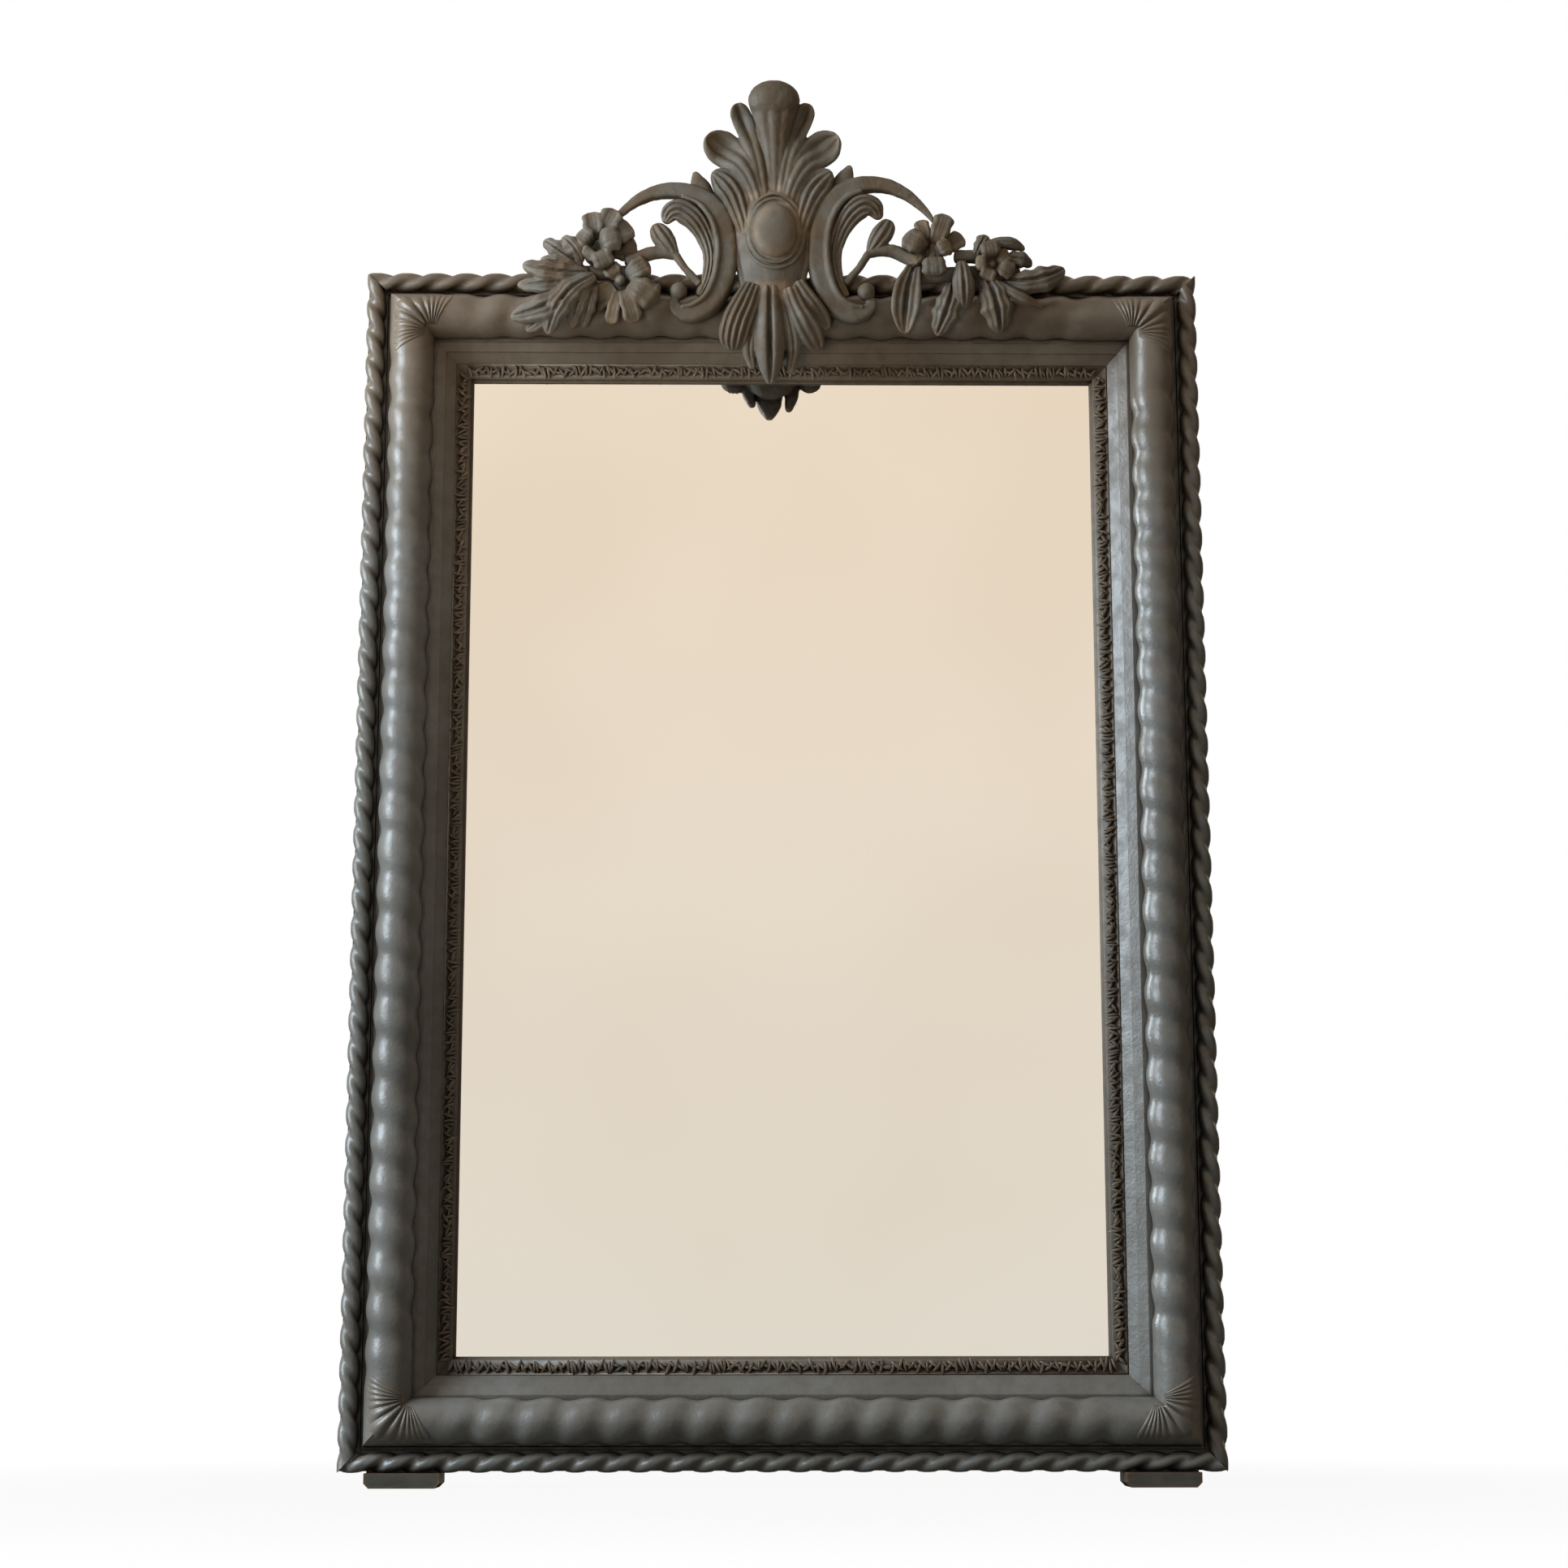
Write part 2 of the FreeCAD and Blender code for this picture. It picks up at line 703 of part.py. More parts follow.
bore_radius = size("ring_wire_radius") + size("ring_clearance")
barrel_radius = bore_radius + size("barrel_wall")
barrel_y = barrel_radius + size("ring_strap_gap")
hanger_screw_solids = []
for label, way in (("left_hanger", -1), ("right_hanger", 1)):
    body = new_body(label + "_strap")
    strap = new_sketch(body, label + "_strap_outline", "XZ_Plane", -size("strap_thickness") / 2)
    half = size("strap_width") / 2
    cut = size("strap_round")
    low = -size("strap_length")
    add_polygon(strap, [
        (-half, ZERO), (-half, low + cut), (cut - half, low),
        (half - cut, low), (half, low + cut), (half, ZERO),
    ])
    pad(body, label + "_strap_thickness", strap, size("strap_thickness"))
    barrel = new_sketch(body, label + "_barrel", "YZ_Plane")
    add_circle(barrel, barrel_y, ZERO, barrel_radius)
    pad(body, label + "_barrel_length", barrel, size("barrel_length"))
    bore = new_sketch(body, label + "_bore", "YZ_Plane")
    add_circle(bore, barrel_y, ZERO, bore_radius)
    pocket(body, label + "_bore_cut", bore, size("barrel_length") * 2)
    holes = new_sketch(body, label + "_strap_holes", "XZ_Plane")
    for height in strap_screws:
        add_circle(holes, ZERO, height - hanger_z, screw_radius)
        start = Vector(way * hanger_x.value, back_y.value + size("strap_thickness").value, height.value)
        hanger_screw_solids.append(screw(size("hanger_screw_length"), start, OUT))
    pocket(body, label + "_strap_hole_cut", holes, size("strap_thickness") * 4)
    stand(body, FreeCAD.Rotation(), hanger_x * way, back_y, hanger_z)
keep("hanger_screws", Part.makeCompound(hanger_screw_solids))


def ring_shape():
    """D-ring about its straight bar, which lies along X through the local origin."""
    wire_radius = size("ring_wire_radius").value
    half = size("ring_half_width").value
    corner = size("ring_corner").value
    side = size("ring_side").value
    bar = half - corner
    disc = Part.Face(Part.Wire(Part.makeCircle(wire_radius, Vector(-bar, 0, 0), RIGHT)))
    pieces = [disc.extrude(RIGHT * (2 * bar))]
    bow = -corner - side
    for way in (1, -1):
        start = Part.Face(Part.Wire(Part.makeCircle(wire_radius, Vector(way * bar, 0, 0), RIGHT)))
        pieces.append(start.revolve(Vector(way * bar, 0, -corner), Vector(0, way, 0), 90))
        leg_disc = Part.Face(Part.Wire(Part.makeCircle(wire_radius, Vector(way * half, 0, -corner), UP)))
        pieces.append(leg_disc.extrude(UP * -side))
    end = Part.Face(Part.Wire(Part.makeCircle(wire_radius, Vector(half, 0, bow), UP)))
    pieces.append(end.revolve(Vector(0, 0, bow), Vector(0, 1, 0), 180))
    return pieces[0].multiFuse(pieces[1:]).removeSplitter()


for label, way in (("left_hanger_ring", -1), ("right_hanger_ring", 1)):
    place = Vector(way * hanger_x.value, back_y.value + barrel_y.value, hanger_z.value)
    keep(label, ring_shape(), FreeCAD.Placement(place, FreeCAD.Rotation()))


# Corner leaves: sleeves that clasp the round moulding over each mitre, fluted and with a scalloped edge

def corner_sleeve(radius, reach):
    """Round moulding of the given radius round the lower left corner, in the frame's own axes."""
    centre_v = torus_centre_v.value
    solids = []
    for inward, along in ((UP, RIGHT), (RIGHT, UP)):
        centre = inward * torus_centre_u.value + OUT * centre_v
        first = centre - inward * radius
        last = centre + inward * radius
        arc = Part.Arc(first, centre + OUT * radius, last)
        low = OUT * (torus_v.value - centre_v)
        run = [last, last + low, first + low, first]
        sides = [Part.makeLine(start, stop) for start, stop in zip(run, run[1:])]
        bar = Part.Face(Part.Wire([arc.toShape()] + sides)).extrude(along * reach)
        diagonal = [Vector(), along * reach, along * reach + inward * reach]
        half = Part.Face(Part.makePolygon(diagonal + diagonal[:1])).extrude(OUT * reach)
        solids.append(bar.common(half))
    return solids[0].fuse(solids[1]).removeSplitter()


leaf_hub = torus_end_u.value
leaf_reach = size("corner_leaf_reach").value
leaf_lobes = count("corner_leaf_lobes")
leaf_spread = math.radians(size("corner_leaf_spread").value)
leaf_middle = math.radians(225)
lobe_angle = leaf_spread / leaf_lobes
first_angle = leaf_middle - leaf_spread / 2
diagonal_swell_share = 0.35


def fan_spot(distance, angle, aside=0):
    """A place on the corner's plan, from the moulding's inner corner; aside is square to the angle."""
    return Vector(
        leaf_hub + distance * math.cos(angle) - aside * math.sin(angle), 0,
        leaf_hub + distance * math.sin(angle) + aside * math.cos(angle))


def leaf_fan():
    """Fan with a scalloped edge, its centre at the moulding's inner corner."""
    scallop = size("corner_leaf_scallop").value
    edges = []
    for lobe in range(leaf_lobes):
        start = first_angle + lobe_angle * lobe
        stop = start + lobe_angle
        middle = start + lobe_angle / 2
        swell = 1 + diagonal_swell_share * math.cos(2 * middle - math.pi / 2) ** 2
        crown = fan_spot(leaf_reach + scallop * swell, middle)
        edges.append(Part.Arc(fan_spot(leaf_reach, start), crown, fan_spot(leaf_reach, stop)).toShape())
    first = fan_spot(leaf_reach, first_angle)
    last = fan_spot(leaf_reach, first_angle + leaf_spread)
    hub_point = Vector(leaf_hub + overrun.value, 0, leaf_hub + overrun.value)
    edges += [Part.makeLine(last, hub_point), Part.makeLine(hub_point, first)]
    return Part.Face(Part.Wire(edges)).extrude(OUT * frame_width.value)


def leaf_grooves():
    """Wedges between the lobes, which narrow towards the inner corner."""
    half = size("corner_leaf_groove_width").value / 2
    far = leaf_reach * 2
    wedges = []
    for groove in range(1, leaf_lobes):
        angle = first_angle + lobe_angle * groove
        tip = fan_spot(leaf_reach / leaf_lobes, angle)
        corners = [tip, fan_spot(far, angle, half), fan_spot(far, angle, -half)]
        wedges.append(Part.Face(Part.makePolygon(corners + corners[:1])).extrude(OUT * frame_width.value))
    return wedges


sleeve_reach = sight_u.value * 2
leaf_inner = torus_diameter.value / 2 + seat_clearance.value
leaf_outer = leaf_inner + size("corner_leaf_thickness").value
groove_floor = corner_sleeve(leaf_outer - size("corner_leaf_groove_depth").value, sleeve_reach)
clasp = corner_sleeve(leaf_outer, sleeve_reach).cut(corner_sleeve(leaf_inner, sleeve_reach))
clasp = largest(clasp.common(leaf_fan()))
for wedge in leaf_grooves():
    clasp = largest(clasp.cut(wedge.cut(groove_floor)))
CORNERS = {
    "bottom_left_leaf": (-1, foot_height, 0),
    "top_left_leaf": (-1, top_edge, 90),
    "top_right_leaf": (1, top_edge, 180),
    "bottom_right_leaf": (1, foot_height, 270),
}
for label, (way, edge_z, turn) in CORNERS.items():
    place = Vector(way * frame_width.value / 2, back_y.value, edge_z.value)
    keep(label, clasp.copy(), FreeCAD.Placement(place, FreeCAD.Rotation(Vector(0, 1, 0), turn)))


# The crest. Its places are shares of the crest's height, from its middle line and the frame's top edge

crest_height = size("crest_height").value
crest_x = crest_shift.value
crest_z = top_edge.value
crest_y = back_y.value - size("crest_forward").value
leaf_thickness = size("crest_leaf_thickness").value


def spot(x_share, z_share, forward_share=0):
    """A place of the crest in the frame's axes."""
    return Vector(
        crest_x + crest_height * x_share,
        crest_y - crest_height * forward_share,
        crest_z + crest_height * z_share)


def band(points, widths, thickness, back_share=0.35):
    """A carved band: lens-shaped sections of changing width, square to a run of points."""
    last = len(points) - 1
    sections = []
    for index, point in enumerate(points):
        tangent = points[min(index + 1, last)] - points[max(index - 1, 0)]
        tangent.normalize()
        side = tangent.cross(OUT)
        side.normalize()
        front = side.cross(tangent)
        half = widths[index] / 2
        depth = min(thickness, half)
        left = point - side * half
        right = point + side * half
        face = Part.Arc(left, point + front * depth, right).toShape()
        back = Part.Arc(right, point - front * (depth * back_share), left).toShape()
        sections.append(Part.Wire([face, back]))
    return Part.makeLoft(sections, True, False)


round_leaf_shares = ((0, 0.5), (0.3, 0.72), (0.6, 0.95), (0.82, 1), (0.94, 0.74), (1, 0.36))
stem_shares = ((0, 0.7), (0.5, 1), (1, 0.7))
pointed_leaf_shares = ((0, 0.42), (0.25, 0.8), (0.5, 1), (0.75, 0.74), (0.92, 0.34), (1, 0.12))


def leaf(root, tip, width_share, shares, lift_share=0.04, bow_share=0, thickness=leaf_thickness):
    """A leaf or lobe from its root to its tip, bowed sideways and lifted towards the viewer."""
    run = tip - root
    side = run.cross(OUT)
    width = crest_height * width_share
    points = []
    widths = []
    for along, wide in shares:
        arch = 4 * along * (1 - along)
        point = root + run * along + side * (bow_share * arch) + OUT * (crest_height * lift_share * arch)
        points.append(point)
        widths.append(width * wide)
    return band(points, widths, thickness)


def ball(centre, radius):
    return Part.makeSphere(radius, centre)


def egg(centre, half_width, half_depth, half_height):
    grow = FreeCAD.Matrix()
    grow.scale(half_width, half_depth, half_height)
    shape = Part.makeSphere(1).transformGeometry(grow)
    shape.translate(centre)
    return shape


def joined(solids):
    """One carved piece from lobes that run into each other."""
    whole = solids[0]
    for solid in solids[1:]:
        whole = whole.fuse(solid)
    return largest(whole)


def seated(shape, neighbours):
    """A piece cut to the shapes that it sits against."""
    for other in neighbours:
        if shape.BoundBox.intersect(other.BoundBox):
            shape = shape.cut(other)
    return largest(shape)


def rail_shadow():
    """The top rail with its mouldings as one plain prism, which the crest is scribed over."""
    gap = seat_clearance.value
    radius = torus_diameter.value / 2 + gap
    rope_radius = rope_diameter.value / 2 + gap
    length = frame_width.value
    rope_u = rope_diameter.value / 2

    def at(u, v):
        return Vector(-length / 2, back_y.value - v, crest_z - u)

    def half_round(centre_u, centre_v, reach):
        outer, inner = centre_u - reach, centre_u + reach
        arc = Part.Arc(at(outer, centre_v), at(centre_u, centre_v + reach), at(inner, centre_v))
        low = [at(inner, centre_v), at(inner, 0), at(outer, 0), at(outer, centre_v)]
        edges = [arc.toShape()] + [Part.makeLine(start, stop) for start, stop in zip(low, low[1:])]
        return Part.Face(Part.Wire(edges)).extrude(RIGHT * length)

    slope = [
        at(rope_u, 0), at(rope_u, torus_v.value + gap), at(fillet_u.value + gap, torus_v.value + gap),
        at(slope_u.value, slip_edge_v.value + 2 * gap), at(sight_u.value + gap, slip_edge_v.value),
        at(sight_u.value + gap, 0)]
    under = Part.Face(Part.makePolygon(slope + slope[:1])).extrude(RIGHT * length)
    torus = half_round(torus_centre_u.value, torus_centre_v.value, radius)
    rope = half_round(rope_u, rope_centre_v.value, rope_radius)
    return under.multiFuse([torus, rope])


rail = rail_shadow()

# Backing block on the rail, held by a cleat that is let into the rail's back

cleat = new_body("crest_cleat")
face = new_sketch(cleat, "crest_cleat_face", "XZ_Plane", -size("cleat_thickness") / 2)
add_rectangle(face, -cleat_half, cleat_half, -size("cleat_tongue"), size("cleat_rise"))
pad(cleat, "crest_cleat_thickness", face, size("cleat_thickness"))
holes = new_sketch(cleat, "crest_cleat_holes", "XZ_Plane")
for height in cleat_screw_z + plate_screw_z:
    for way in (1, -1):
        add_circle(holes, crest_screw_shift * way, height - top_edge, screw_radius)
pocket(cleat, "crest_cleat_hole_cut", holes, size("cleat_thickness") * 4)
stand(cleat, turned(-RIGHT), crest_shift, back_y, top_edge)

plate_depth = size("crest_back") - size("cleat_thickness")
plate = new_body("crest_backplate")
plate_middle = size("cleat_thickness") + plate_depth / 2
outline = new_sketch(plate, "crest_backplate_outline", "XZ_Plane", -plate_middle)
half = size("backplate_half_width")
cut = size("backplate_round")
low = seat_clearance
high = size("backplate_height")
add_polygon(outline, [
    (-half, low), (half, low), (half, high - cut),
    (half - cut, high), (cut - half, high), (-half, high - cut),
])
pad(plate, "crest_backplate_thickness", outline, plate_depth)
holes = new_sketch(plate, "crest_backplate_holes", "XZ_Plane", -size("cleat_thickness"))
for height in plate_screw_z:
    for way in (1, -1):
        add_circle(holes, crest_screw_shift * way, height - top_edge, screw_radius)
pocket(plate, "crest_backplate_hole_cut", holes, crest_bite * 2)
stand(plate, turned(-RIGHT), crest_shift, back_y, top_edge)

crest_screw_solids = []
for height in cleat_screw_z + plate_screw_z:
    for way in (1, -1):
        start = Vector(crest_x + way * crest_screw_shift.value, back_y.value, height.value)
        crest_screw_solids.append(screw(size("crest_screw_length"), start, OUT))
keep("crest_screws", Part.makeCompound(crest_screw_solids))

# Cartouche: a shield that swells forward, with a raised bezel round its cabochon

crest_back_y = back_y.value - size("crest_back").value
cartouche_shares = ((-0.25, 0.12), (-0.13, 0.175), (0.0, 0.185), (0.14, 0.205), (0.3, 0.205), (0.38, 0.15))
widest_half_share = 0.21
sections = []
for z_share, half_share in cartouche_shares:
    half = crest_height * half_share
    z = crest_z + crest_height * z_share
    rise = size("cartouche_thickness").value * math.sqrt(half_share / widest_half_share)
    left = Vector(crest_x - half, crest_back_y, z)
    right = Vector(crest_x + half, crest_back_y, z)
    bow = Part.Arc(left, Vector(crest_x, crest_back_y - rise, z), right).toShape()
    sections.append(Part.Wire([bow, Part.makeLine(right, left)]))
shield = Part.makeLoft(sections, True, False)
cabochon_z_share = 0.139
front_y = crest_back_y - size("cartouche_thickness").value
gem_width = size("cabochon_half_width").value
gem_height = size("cabochon_half_height").value
gem_rise = size("cabochon_rise").value
bezel = size("bezel_width").value
groove = size("bezel_groove").value
gem_centre = Vector(crest_x, front_y + groove, crest_z + crest_height * cabochon_z_share)
raised = egg(gem_centre, gem_width + bezel, gem_rise - groove / 2, gem_height + bezel)
dished = egg(gem_centre - Vector(0, gem_rise, 0), gem_width + groove, gem_rise + groove, gem_height + groove)
cartouche = seated(shield.fuse(raised).cut(dished), [rail])
cabochon = seated(egg(gem_centre, gem_width, gem_rise, gem_height), [cartouche])
keep("cartouche", cartouche)
keep("cabochon", cabochon)

# Palmette: lobes that fan out above the cartouche, the middle one tallest and rolled forward

palmette_shares = (
    (0, 1.0, 0.29), (-0.19, 0.87, 0.15), (0.205, 0.85, 0.15), (-0.29, 0.69, 0.18), (0.3, 0.69, 0.18),
    (-0.32, 0.5, 0.16), (0.33, 0.51, 0.16))
palmette_root_share = 0.33
palmette_gather_share = 0.25
palmette_nod_share = 0.06
palmette_lift_share = 0.03
layer_share = 0.011
lobe_thickness = size("palmette_thickness").value
palmette_parts = []
for layer, (x_share, z_share, width_share) in enumerate(palmette_shares):
    root = spot(x_share * palmette_gather_share, palmette_root_share, -layer * layer_share)
    tip = spot(x_share, z_share, palmette_nod_share - layer * layer_share)
    palmette_parts.append(leaf(
        root, tip, width_share, round_leaf_shares, palmette_lift_share, thickness=lobe_thickness))
joint_z = crest_z + crest_height * cartouche_shares[-1][0]
reach = 2 * crest_height
above = Part.makeBox(reach, reach, reach, Vector(crest_x - crest_height, crest_y - crest_height, joint_z))
palmette = largest(joined(palmette_parts).common(above))
keep("palmette", palmette)

# Hanging leaf: a pointed middle leaf between folded side lobes, over the round moulding

pendant_shares = (
    (0, -0.64, 0.17, -0.06), (-0.11, -0.535, 0.1, -0.02), (0.12, -0.555, 0.1, -0.02),
    (-0.17, -0.51, 0.11, -0.03), (0.22, -0.52, 0.11, -0.03), (-0.23, -0.38, 0.12, 0), (0.29, -0.37, 0.12, 0))
pendant_gather_share = 0.3
pendant_root_share = -0.14
pendant_forward_share = 0.07
pendant_lift_share = 0.07
pendant_parts = []
for layer, (x_share, z_share, width_share, forward_share) in enumerate(pendant_shares):
    root_forward_share = pendant_forward_share - layer * layer_share
    root = spot(x_share * pendant_gather_share, pendant_root_share, root_forward_share)
    tip = spot(x_share, z_share, forward_share)
    shares = pointed_leaf_shares if x_share == 0 else round_leaf_shares
    pendant_parts.append(leaf(root, tip, width_share, shares, pendant_lift_share))
pendant = seated(joined(pendant_parts), [cartouche, cabochon, rail])
keep("pendant_leaf", pendant)

# C-scrolls: a band from the volute round under the leaf, up beside the cartouche and over to the flower

scroll_shares = (
    (0.483, -0.171, 0.073), (0.42, -0.244, 0.083), (0.316, -0.166, 0.13),
    (0.26, 0.024, 0.17), (0.28, 0.22, 0.18), (0.395, 0.375, 0.125),
    (0.576, 0.42, 0.083), (0.72, 0.371, 0.063), (0.835, 0.27, 0.045))
# Leaves of a wing: root, tip and width
spike_shares = ((0.34, 0.36), (0.43, 0.52), 0.1)
scroll_leaf_shares = ((0.34, 0.1), (0.58, 0.21), 0.11)
bud_shares = (
    ((0.35, -0.11), (0.54, 0.07), 0.06),
    ((0.5, 0.02), (0.64, 0.23), 0.15),
    ((0.52, 0.04), (0.74, 0.03), 0.05))
scroll_lean_share = 0.08
scroll_back_share = 0.6
spike_bow_share = 0.1
scroll_leaf_bow_share = -0.4
scroll_leaf_lift_share = 0.05
bud_bow_share = 0.1
bud_lift_share = 0.02
right_lift_share = 0.035


def wing_spot(way, place_shares, forward_share=0):
    """A place of the left or right wing; the right one sits a little higher."""
    x_share, z_share = place_shares
    lift_share = right_lift_share if way > 0 else 0
    return spot(way * x_share, z_share + lift_share, forward_share - scroll_lean_share * z_share)


def scroll_band(way):
    """The C-shaped band, with a section at each point of its run and one between each two."""
    path = [wing_spot(way, (x_share, z_share)) for x_share, z_share, width_share in scroll_shares]
    widths = [crest_height * width_share for x_share, z_share, width_share in scroll_shares]
    run = Part.BSplineCurve()
    run.interpolate(path)
    marks = [run.parameter(point) for point in path]
    points = path[:1]
    section_widths = widths[:1]
    for before in range(len(path) - 1):
        middle = (marks[before] + marks[before + 1]) / 2
        points += [run.value(middle), path[before + 1]]
        section_widths += [(widths[before] + widths[before + 1]) / 2, widths[before + 1]]
    volute = ball(path[0], size("volute_radius").value)
    return [band(points, section_widths, leaf_thickness, scroll_back_share), volute]


def wing_leaf(way, leaf_shares, forward_share, lift_share, bow_share):
    root, tip, width_share = leaf_shares
    return leaf(
        wing_spot(way, root, forward_share), wing_spot(way, tip, forward_share), width_share,
        pointed_leaf_shares, lift_share, way * bow_share)


crest_core = [cartouche, palmette, pendant, cabochon]
crest_wings = {}
for name, way in (("left", -1), ("right", 1)):
    spike = wing_leaf(way, spike_shares, layer_share, 0, spike_bow_share)
    scroll = seated(joined(scroll_band(way) + [spike]), crest_core + [rail])
    keep(name + "_scroll", scroll)
    inner_leaf = wing_leaf(
        way, scroll_leaf_shares, 2 * layer_share, scroll_leaf_lift_share, scroll_leaf_bow_share)
    inner_leaf = seated(inner_leaf, crest_core + [scroll])
    keep(name + "_scroll_leaf", inner_leaf)
    bud_parts = []
    for layer, leaf_shares in enumerate(bud_shares):
        forward_share = (layer + 0.5) * layer_share
        bud_parts.append(wing_leaf(way, leaf_shares, forward_share, bud_lift_share, bud_bow_share))
    bud = seated(joined(bud_parts), crest_core + [scroll, inner_leaf])
    keep(name + "_bud", bud)
    crest_wings[name] = [scroll, inner_leaf, bud]

# Sprays: leaves on a short stem, which lie over the top rail's round moulding

spray_shares = {
    "left_spray": (
        (-0.74, -0.06, -1.0, -0.06, 0.08),
        (-0.9, -0.05, -0.86, 0.16, 0.08),
        (-0.92, -0.04, -1.19, 0.1, 0.1),
        (-0.93, -0.05, -1.31, -0.02, 0.12),
        (-0.93, -0.07, -1.355, -0.24, 0.13),
        (-0.93, -0.08, -1.28, -0.33, 0.12),
        (-0.92, -0.08, -1.15, -0.395, 0.12),
        (-0.9, -0.08, -1.0, -0.36, 0.11),
    ),
    "right_spray": (
        (0.68, -0.08, 1.3, -0.04, 0.08),
        (0.82, -0.07, 0.87, 0.17, 0.08),
        (0.73, -0.03, 0.735, -0.35, 0.15),
        (0.83, -0.06, 0.885, -0.38, 0.12),
        (0.95, -0.04, 1.03, -0.22, 0.12),
        (1.04, -0.08, 1.145, -0.365, 0.12),
        (1.1, -0.05, 1.33, 0.13, 0.1),
        (1.2, -0.04, 1.54, -0.02, 0.1),
        (1.2, -0.06, 1.375, -0.23, 0.1),
    ),
}
spray_root_share = 0.02
spray_tip_share = -0.02
upright_tip_share = -0.05
spray_lift_share = 0.04
spray_bow_share = 0.04
LAYERS = 3
sprays = {}
for label, leaves in spray_shares.items():
    parts = []
    for number, (root_x, root_z, tip_x, tip_z, width_share) in enumerate(leaves):
        step_share = (number % LAYERS) * layer_share / LAYERS
        # The first row is the stem, and the second stands up behind the flower
        tip_share = upright_tip_share if number == 1 else spray_tip_share
        root = spot(root_x, root_z, spray_root_share + step_share)
        tip = spot(tip_x, tip_z, tip_share + step_share)
        shares = pointed_leaf_shares if number else stem_shares
        parts.append(leaf(root, tip, width_share, shares, spray_lift_share if number else 0, spray_bow_share))
    wing_side = label.split("_")[0]
    sprays[label] = seated(joined(parts), crest_wings[wing_side] + [rail])
    keep(label, sprays[label])

# Flowers: round petals about a button, cupped towards the viewer

button_share = 0.3
button_rise_share = 0.12
petal_root_share = 0.12
petal_rise_share = 0.25
petal_width_share = 0.95
petal_lift_share = -0.01


def flower(centre, radius, petals, turn):
    parts = [ball(centre + OUT * (radius * button_rise_share), radius * button_share)]
    width_share = radius * petal_width_share / crest_height
    thickness = size("petal_thickness").value
    for petal in range(petals):
        angle = math.radians(turn) + 2 * math.pi * petal / petals
        reach = Vector(math.sin(angle), 0, math.cos(angle)) * radius
        root = centre + reach * petal_root_share
        tip = centre + reach + OUT * (radius * petal_rise_share)
        parts.append(leaf(
            root, tip, width_share, round_leaf_shares, petal_lift_share, thickness=thickness))
    return joined(parts)


flower_radius = size("flower_radius").value
flower_shares = {
    "left_upper_flower": (-0.86, 0.14, 0.03, 1.0, 5, 10),
    "left_lower_flower": (-0.765, -0.14, 0.045, 0.95, 5, 40),
    "right_upper_flower": (0.865, 0.145, 0.03, 1.05, 5, 0),
    "right_outer_flower": (1.15, -0.02, 0.07, 0.75, 5, 0),
}
flowers = {}
for label, (x_share, z_share, forward_share, radius_share, petals, turn) in flower_shares.items():
    others = crest_wings["left"] + crest_wings["right"] + [rail]
    others += list(sprays.values()) + list(flowers.values())
    bloom = flower(spot(x_share, z_share, forward_share), flower_radius * radius_share, petals, turn)
    flowers[label] = seated(bloom, others)
    keep(label, flowers[label])

# Everything is computed, checked and written

doc.recompute()
helpers = ("Sketcher::", "PartDesign::Pad", "PartDesign::Pocket", "App::", "Spreadsheet::")
pieces = []
for thing in doc.Objects:
    if "Invalid" in thing.State or "Error" in thing.State:
        raise ValueError("failed: " + thing.Label)
    if not thing.TypeId.startswith(helpers):
        pieces.append(thing)
for piece in pieces:
    if piece.Shape.isNull() or not piece.Shape.isValid():
        raise ValueError("not a valid shape: " + piece.Label)
for piece in pieces:
    piece.Shape.exportStep(f"parts/{piece.Label}.step")
    print(piece.Label, len(piece.Shape.Solids), round(piece.Shape.Volume))
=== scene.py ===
# %% [markdown]
# # A carved pediment mirror
# The mirror arrives as a set of plain solids in metres: +Z is up and the front looks along -Y.
# We keep those solids as the measured frame, dress them in an old waxed paint, and carve new meshes
# where the real piece has turned, twisted or leafy work.

# %% Load the measured frame
import math
from collections import namedtuple

import bmesh
import bpy
import numpy as np
from mathutils import Matrix, Vector


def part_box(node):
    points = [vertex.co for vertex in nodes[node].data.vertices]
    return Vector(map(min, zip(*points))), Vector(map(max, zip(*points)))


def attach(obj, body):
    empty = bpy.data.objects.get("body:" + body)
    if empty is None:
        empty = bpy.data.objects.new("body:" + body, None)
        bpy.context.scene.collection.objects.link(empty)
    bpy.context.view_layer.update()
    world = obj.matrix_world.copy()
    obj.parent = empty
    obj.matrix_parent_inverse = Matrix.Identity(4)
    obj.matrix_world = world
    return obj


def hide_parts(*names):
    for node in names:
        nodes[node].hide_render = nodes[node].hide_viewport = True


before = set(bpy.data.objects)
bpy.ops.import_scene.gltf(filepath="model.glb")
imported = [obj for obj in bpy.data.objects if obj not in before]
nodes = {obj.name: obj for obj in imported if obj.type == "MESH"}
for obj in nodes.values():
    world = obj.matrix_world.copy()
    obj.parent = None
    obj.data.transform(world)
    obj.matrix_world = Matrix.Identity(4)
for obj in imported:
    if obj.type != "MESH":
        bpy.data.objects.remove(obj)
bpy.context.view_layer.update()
print("solids loaded:", len(nodes))

# %% [markdown]
# ## Where everything is
# Every length we need is read from the boxes of the solids, so the carving follows the frame if the
# frame is rebuilt at another size. "Inward" runs from a frame edge towards the glass, and "along" runs
# down the length of a side.

# %% Measure the frame
MM = 0.001
RIGHT, UP = Vector((1, 0, 0)), Vector((0, 0, 1))

rope_low, rope_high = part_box("bottom_rope")
round_low, round_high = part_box("bottom_torsade")
slip_low, slip_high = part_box("bottom_slip")
left_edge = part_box("left_rope")[0].x
right_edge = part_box("right_rope")[1].x
top_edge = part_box("top_rope")[1].z

